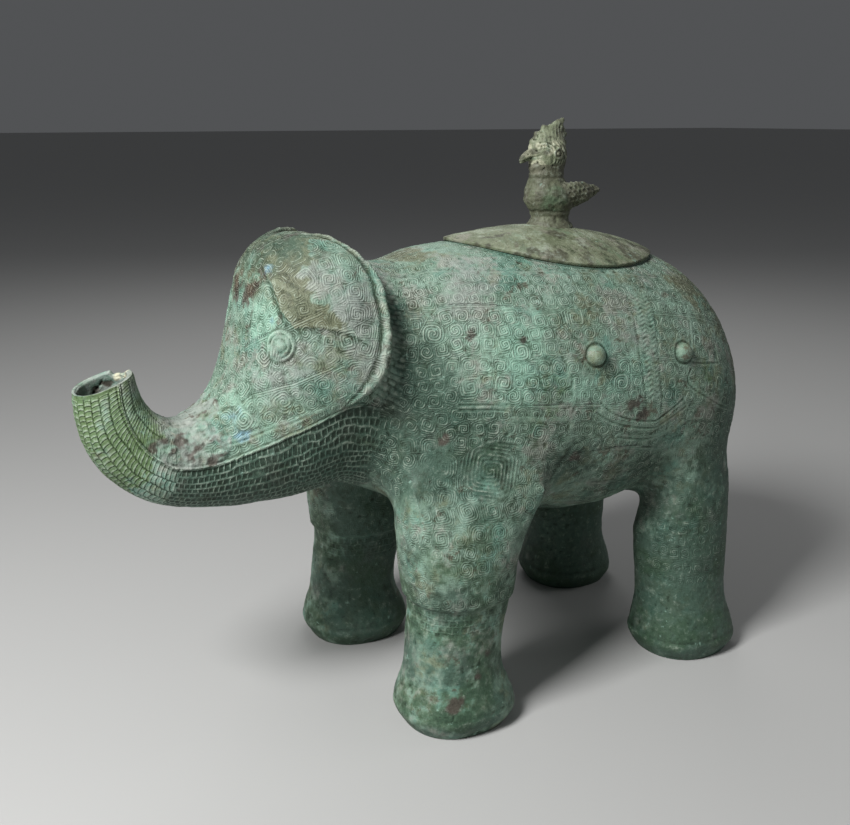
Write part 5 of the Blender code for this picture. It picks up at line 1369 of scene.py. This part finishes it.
BIRD_TAIL = np.array([  # x, height, half height, half width
    (8.0, 22.0, 10.5, 13.0), (20.0, 21.5, 9.0, 12.0), (30.0, 22.0, 6.5, 10.0), (39.0, 23.5, 4.2, 7.0),
    (46.0, 25.0, 1.8, 3.5)])
BIRD_BEAK = np.array([  # x, height, half height, half width
    (-9.0, 54.0, 6.5, 6.0), (-19.0, 53.0, 4.5, 3.6), (-24.5, 51.0, 3.7, 3.0), (-28.2, 48.9, 2.2, 1.8)])
# Lumps: x, side and height of the middle, and half sizes. Those off the middle are on both sides.
BIRD_LUMPS = ((-6.5, 0.0, 73.0, 2.6, 2.4, 2.2), (-12.5, 0.0, 68.0, 3.0, 2.8, 2.6),
              (-16.5, 0.0, 62.5, 2.8, 3.0, 3.0), (12.5, 0.0, 69.0, 2.0, 2.2, 3.5),
              (12.0, 0.0, 61.0, 2.2, 3.0, 3.5), (-16.0, 0.0, 44.0, 3.0, 4.2, 5.0),
              (-1.0, 11.3, 54.0, 3.9, 1.9, 3.9), (15.0, 12.5, 25.0, 18.0, 4.6, 8.0),
              (29.0, 8.0, 26.0, 14.0, 3.2, 4.5), (-15.0, 4.0, 58.5, 3.0, 2.0, 2.0))
# The furthest x, side and height that the bird's relief may reach.
BIRD_LIMITS = (50.0, 99.0, 79.9)
BIRD_VOXEL = 0.62


def loft(rings_of, sides_of, upright):
    """Ellipses through spline-smoothed sections, stacked upright or along the bird."""
    place_on = np.linspace(0.0, len(rings_of) - 1.0, 6 * len(rings_of))
    at, middle, half_a, half_b = spline(rings_of, bends(rings_of), place_on).T[..., None]
    turn = stretch(0.0, 2.0 * np.pi, sides_of)
    first, second = middle + half_a * np.cos(turn), half_b * np.sin(turn)
    return beside(first, second, at) if upright else beside(at, second, first)


def closed_faces(rows, wide, first):
    """Quads round a tube of rings and a fan at each end, numbered from the first point."""
    ring = first + np.arange(rows * wide).reshape(rows, wide)
    faces = tube_faces(ring)[:, [0, 3, 2, 1]].tolist()
    return faces + [ring[0][::-1].tolist(), ring[-1].tolist()]


def ball(middle, halves):
    """An ellipsoid as rings of a sphere, scaled and put in place."""
    rise = np.linspace(-0.495 * np.pi, 0.495 * np.pi, 14)[:, None]
    turn = stretch(0.0, 2.0 * np.pi, 24)
    unit = beside(np.cos(rise) * np.cos(turn), np.cos(rise) * np.sin(turn), np.sin(rise))
    return np.array(middle) + unit * np.array(halves)


forms = [loft(BIRD_SECTIONS, 48, True), loft(BIRD_TAIL, 32, False), loft(BIRD_BEAK, 24, False)]
for x, away, z, half_x, half_y, half_z in BIRD_LUMPS:
    for sign in ((-1.0, 1.0) if away > 0.0 else (1.0,)):
        forms.append(ball((x, sign * away, z), (half_x, half_y, half_z)))
form_points, form_faces, count = [], [], 0
for form in forms:
    form_faces += closed_faces(form.shape[0], form.shape[1], count)
    form_points.append(form.reshape(-1, 3))
    count += len(form_points[-1])
rough_mesh = bpy.data.meshes.new("bird_forms")
rough_mesh.from_pydata(np.concatenate(form_points).tolist(), [], form_faces)
rough_bird = bpy.data.objects.new("bird_forms", rough_mesh)
scene.collection.objects.link(rough_bird)
melt = rough_bird.modifiers.new("melt", "REMESH")
melt.mode = "VOXEL"
melt.voxel_size = BIRD_VOXEL
skin_mesh = rough_bird.evaluated_get(bpy.context.evaluated_depsgraph_get()).to_mesh()
bird = np.empty(3 * len(skin_mesh.vertices))
skin_mesh.vertices.foreach_get("co", bird)
bird = bird.reshape(-1, 3)
bird_quads = np.empty(4 * len(skin_mesh.polygons), dtype=int)
assert len(skin_mesh.loops) == len(bird_quads)
skin_mesh.loops.foreach_get("vertex_index", bird_quads)
bird_quads = bird_quads.reshape(-1, 4)
bpy.data.objects.remove(rough_bird)
no_triangles = np.zeros((0, 3), dtype=int)
bird = settled(bird, (bird_quads,), np.full(len(bird), 0.5), 5)
bird_normals = normals_of(bird, bird_quads, no_triangles)
bird_x, _, bird_z = bird.T
wing = ease(bird_x + 0.5 * (bird_z - 22.0), 4.0, 9.0)
wing *= (1.0 - ease(bird_z, 32.0, 36.0)) * ease(bird_z, 11.0, 15.0)
wing = np.clip(wing + ease(bird_x, 22.0, 24.0), 0.0, 1.0)
feather_row = bird_x / 4.4 + 0.25 * cloud(bird, 5.0, 71)
feather_column = (bird_z + 0.35 * bird_x) / 4.2 + 0.5 * (np.floor(feather_row) % 2)
feather_rise = feather_row - np.floor(feather_row) + 0.3 * np.cos(2.0 * np.pi * feather_column)
bird_relief = wing * (0.55 * np.sin(np.pi * np.clip(feather_rise, 0.0, 1.0)) - 0.35)
face_gap = np.hypot(bird_x + 12.0, bird_z - 51.0)
bird_eye_gap = np.hypot(bird_x + 1.0, bird_z - 54.0)
in_face = ease(bird_z, 45.0, 48.0) * (1.0 - ease(bird_z, 61.0, 64.0)) * ease(face_gap, 5.5, 7.0)
in_face *= (bird_x < 8.0) * ease(bird_x, -17.5, -14.0) * ease(bird_eye_gap, 4.5, 6.0)
bird_relief += 0.42 * in_face * np.cos(2.0 * np.pi * (face_gap / 2.6 + 0.25 * cloud(bird, 4.0, 83)))
bird_relief += 0.7 * ridge(bird_eye_gap - 3.7, 0.8) - 0.5 * ridge(bird_eye_gap - 2.2, 0.7)
crest = ease(bird_z, 60.0, 64.0)
crest_line = (bird_x - 0.25 * bird_z) / 3.3 + 0.4 * cloud(bird, 6.0, 82)
bird_relief += 0.13 * crest * np.cos(2.0 * np.pi * crest_line)
collar = ridge(bird_z - 38.5, 1.3) - ridge(bird_z - 36.0, 0.9)
bird_relief += 0.35 * collar + 0.4 * ridge(bird_z - 9.0, 1.2) - 0.3 * ridge(bird_z - 11.2, 0.9)
bird_relief -= 0.45 * ridge(bird_z - 51.2 - 0.35 * (bird_x + 19.0), 0.6) * (bird_x < -14.0)
bird_rough = 1.0 - 0.85 * ease(-bird_x, 13.0, 18.0) * (bird_z > 46.0)
bird_grain = 0.50 * cloud(bird, 6.0, 72) + 0.38 * cloud(bird, 2.8, 73) + 0.16 * cloud(bird, 1.5, 74)
bird_relief += bird_rough * bird_grain
bird_relief -= 0.9 * ease(cloud(bird, 2.8, 75), 0.45, 0.75) * ease(bird_z, 39.0, 44.0)
bird_smooth = settled(bird_relief[:, None], (bird_quads,), np.full(len(bird), 0.5), 10)[:, 0]
bird = bird + bird_normals * bird_relief[:, None]
pale_head = ease(bird_z + 3.0 * cloud(bird, 5.0, 76), 48.0, 54.0) * (1.0 - 0.8 * ease(bird_z, 60.0, 66.0))
pale_head *= 0.45 + 0.9 * cloud(bird, 3.0, 77)
wattle = 1.0 - ease(np.hypot(bird_x + 16.0, bird_z - 44.0), 4.0, 7.0)
green_breast = (1.0 - ease(np.hypot(bird_x + 5.0, bird_z - 20.0), 6.0, 15.0)) * (bird_z < 34.0)
green_breast *= 0.8 + 0.5 * cloud(bird, 5.0, 78)
dark_bird = ease(cloud(bird, 5.0, 79), 0.1, 0.7) + 0.8 * wing * ease(cloud(bird, 2.5, 80), 0.0, 0.5)
dark_bird += 0.6 * (1.0 - ease(bird_z, 8.0, 14.0)) * ease(cloud(bird, 4.0, 81), -0.2, 0.4)
dark_bird += 0.9 * (1.0 - ease(bird_eye_gap, 2.6, 4.2)) + 0.55 * (bird_z < 46.0)
dark_bird += 0.4 * ridge(bird_z - 42.0, 5.0) + 0.5 * ease(bird_x, -2.0, 6.0) * (bird_z > 40.0)
bird_tones = beside(np.clip(pale_head + 0.9 * wattle, 0.0, 1.0), np.clip(green_breast, 0.0, 1.0),
                    np.clip(dark_bird, 0.0, 1.0) * (1.0 - 0.5 * pale_head))
# Sunk parts of the bird are darkened and raised ones paled: partly dirt and wear, partly painted shade and
# highlight.
bird_hollow = np.clip((bird_relief - bird_smooth) * 1.8, -1.0, 1.0)
bird_foot = lid_underside(np.array(LID_X), np.array(0.0)) + LID_THICKNESS
bird = np.minimum(bird, BIRD_LIMITS) * BIRD_SCALE + (LID_X, 0.0, bird_foot)

# Plate and bird together are the lid. Its values: the plate's, then the bird's.
lid_points = np.concatenate([plate_points, bird])
lid_quads = np.concatenate([plate_quads, bird_quads + len(plate_points)])
plate_brown = cloud(plate_points, 18.0, 66) + 0.9 * cloud(plate_points, 6.0, 67)
plate_brown = 0.8 * ease(plate_brown + 0.5 * cloud(plate_points, 2.5, 84), 0.0, 0.9)
plate_green = 0.36 * ease(cloud(plate_points, 26.0, 68) + 0.9 * cloud(plate_points, 6.0, 69), 0.1, 0.9)
lid_field = beside(0.0, 0.0, np.concatenate([plate_hollow, bird_hollow]))
lid_tones = np.concatenate([beside(0.0, plate_green, plate_brown), bird_tones])
olive_patina = bronze_patina(
    "olive_patina", ((0.135, 0.158, 0.094, 1.0), (0.205, 0.230, 0.150, 1.0)),
    ((45.0, 0.51, 0.63, 0.60, (0.265, 0.250, 0.210, 1.0)),
     (70.0, 0.54, 0.66, 0.50, (0.125, 0.185, 0.125, 1.0)),
     (150.0, 0.55, 0.66, 0.65, (0.090, 0.080, 0.055, 1.0)),
     (200.0, 0.58, 0.68, 0.50, (0.340, 0.350, 0.270, 1.0))),
    (("tones", (((0.430, 0.430, 0.310, 1.0), 0.80), ((0.110, 0.195, 0.110, 1.0), 0.75),
                ((0.062, 0.060, 0.040, 1.0), 0.78))),), False)
simple_piece("lid_with_bird", lid_points, lid_quads, plate_triangles,
             {"field": lid_field, "tones": lid_tones}, olive_patina, "lid")
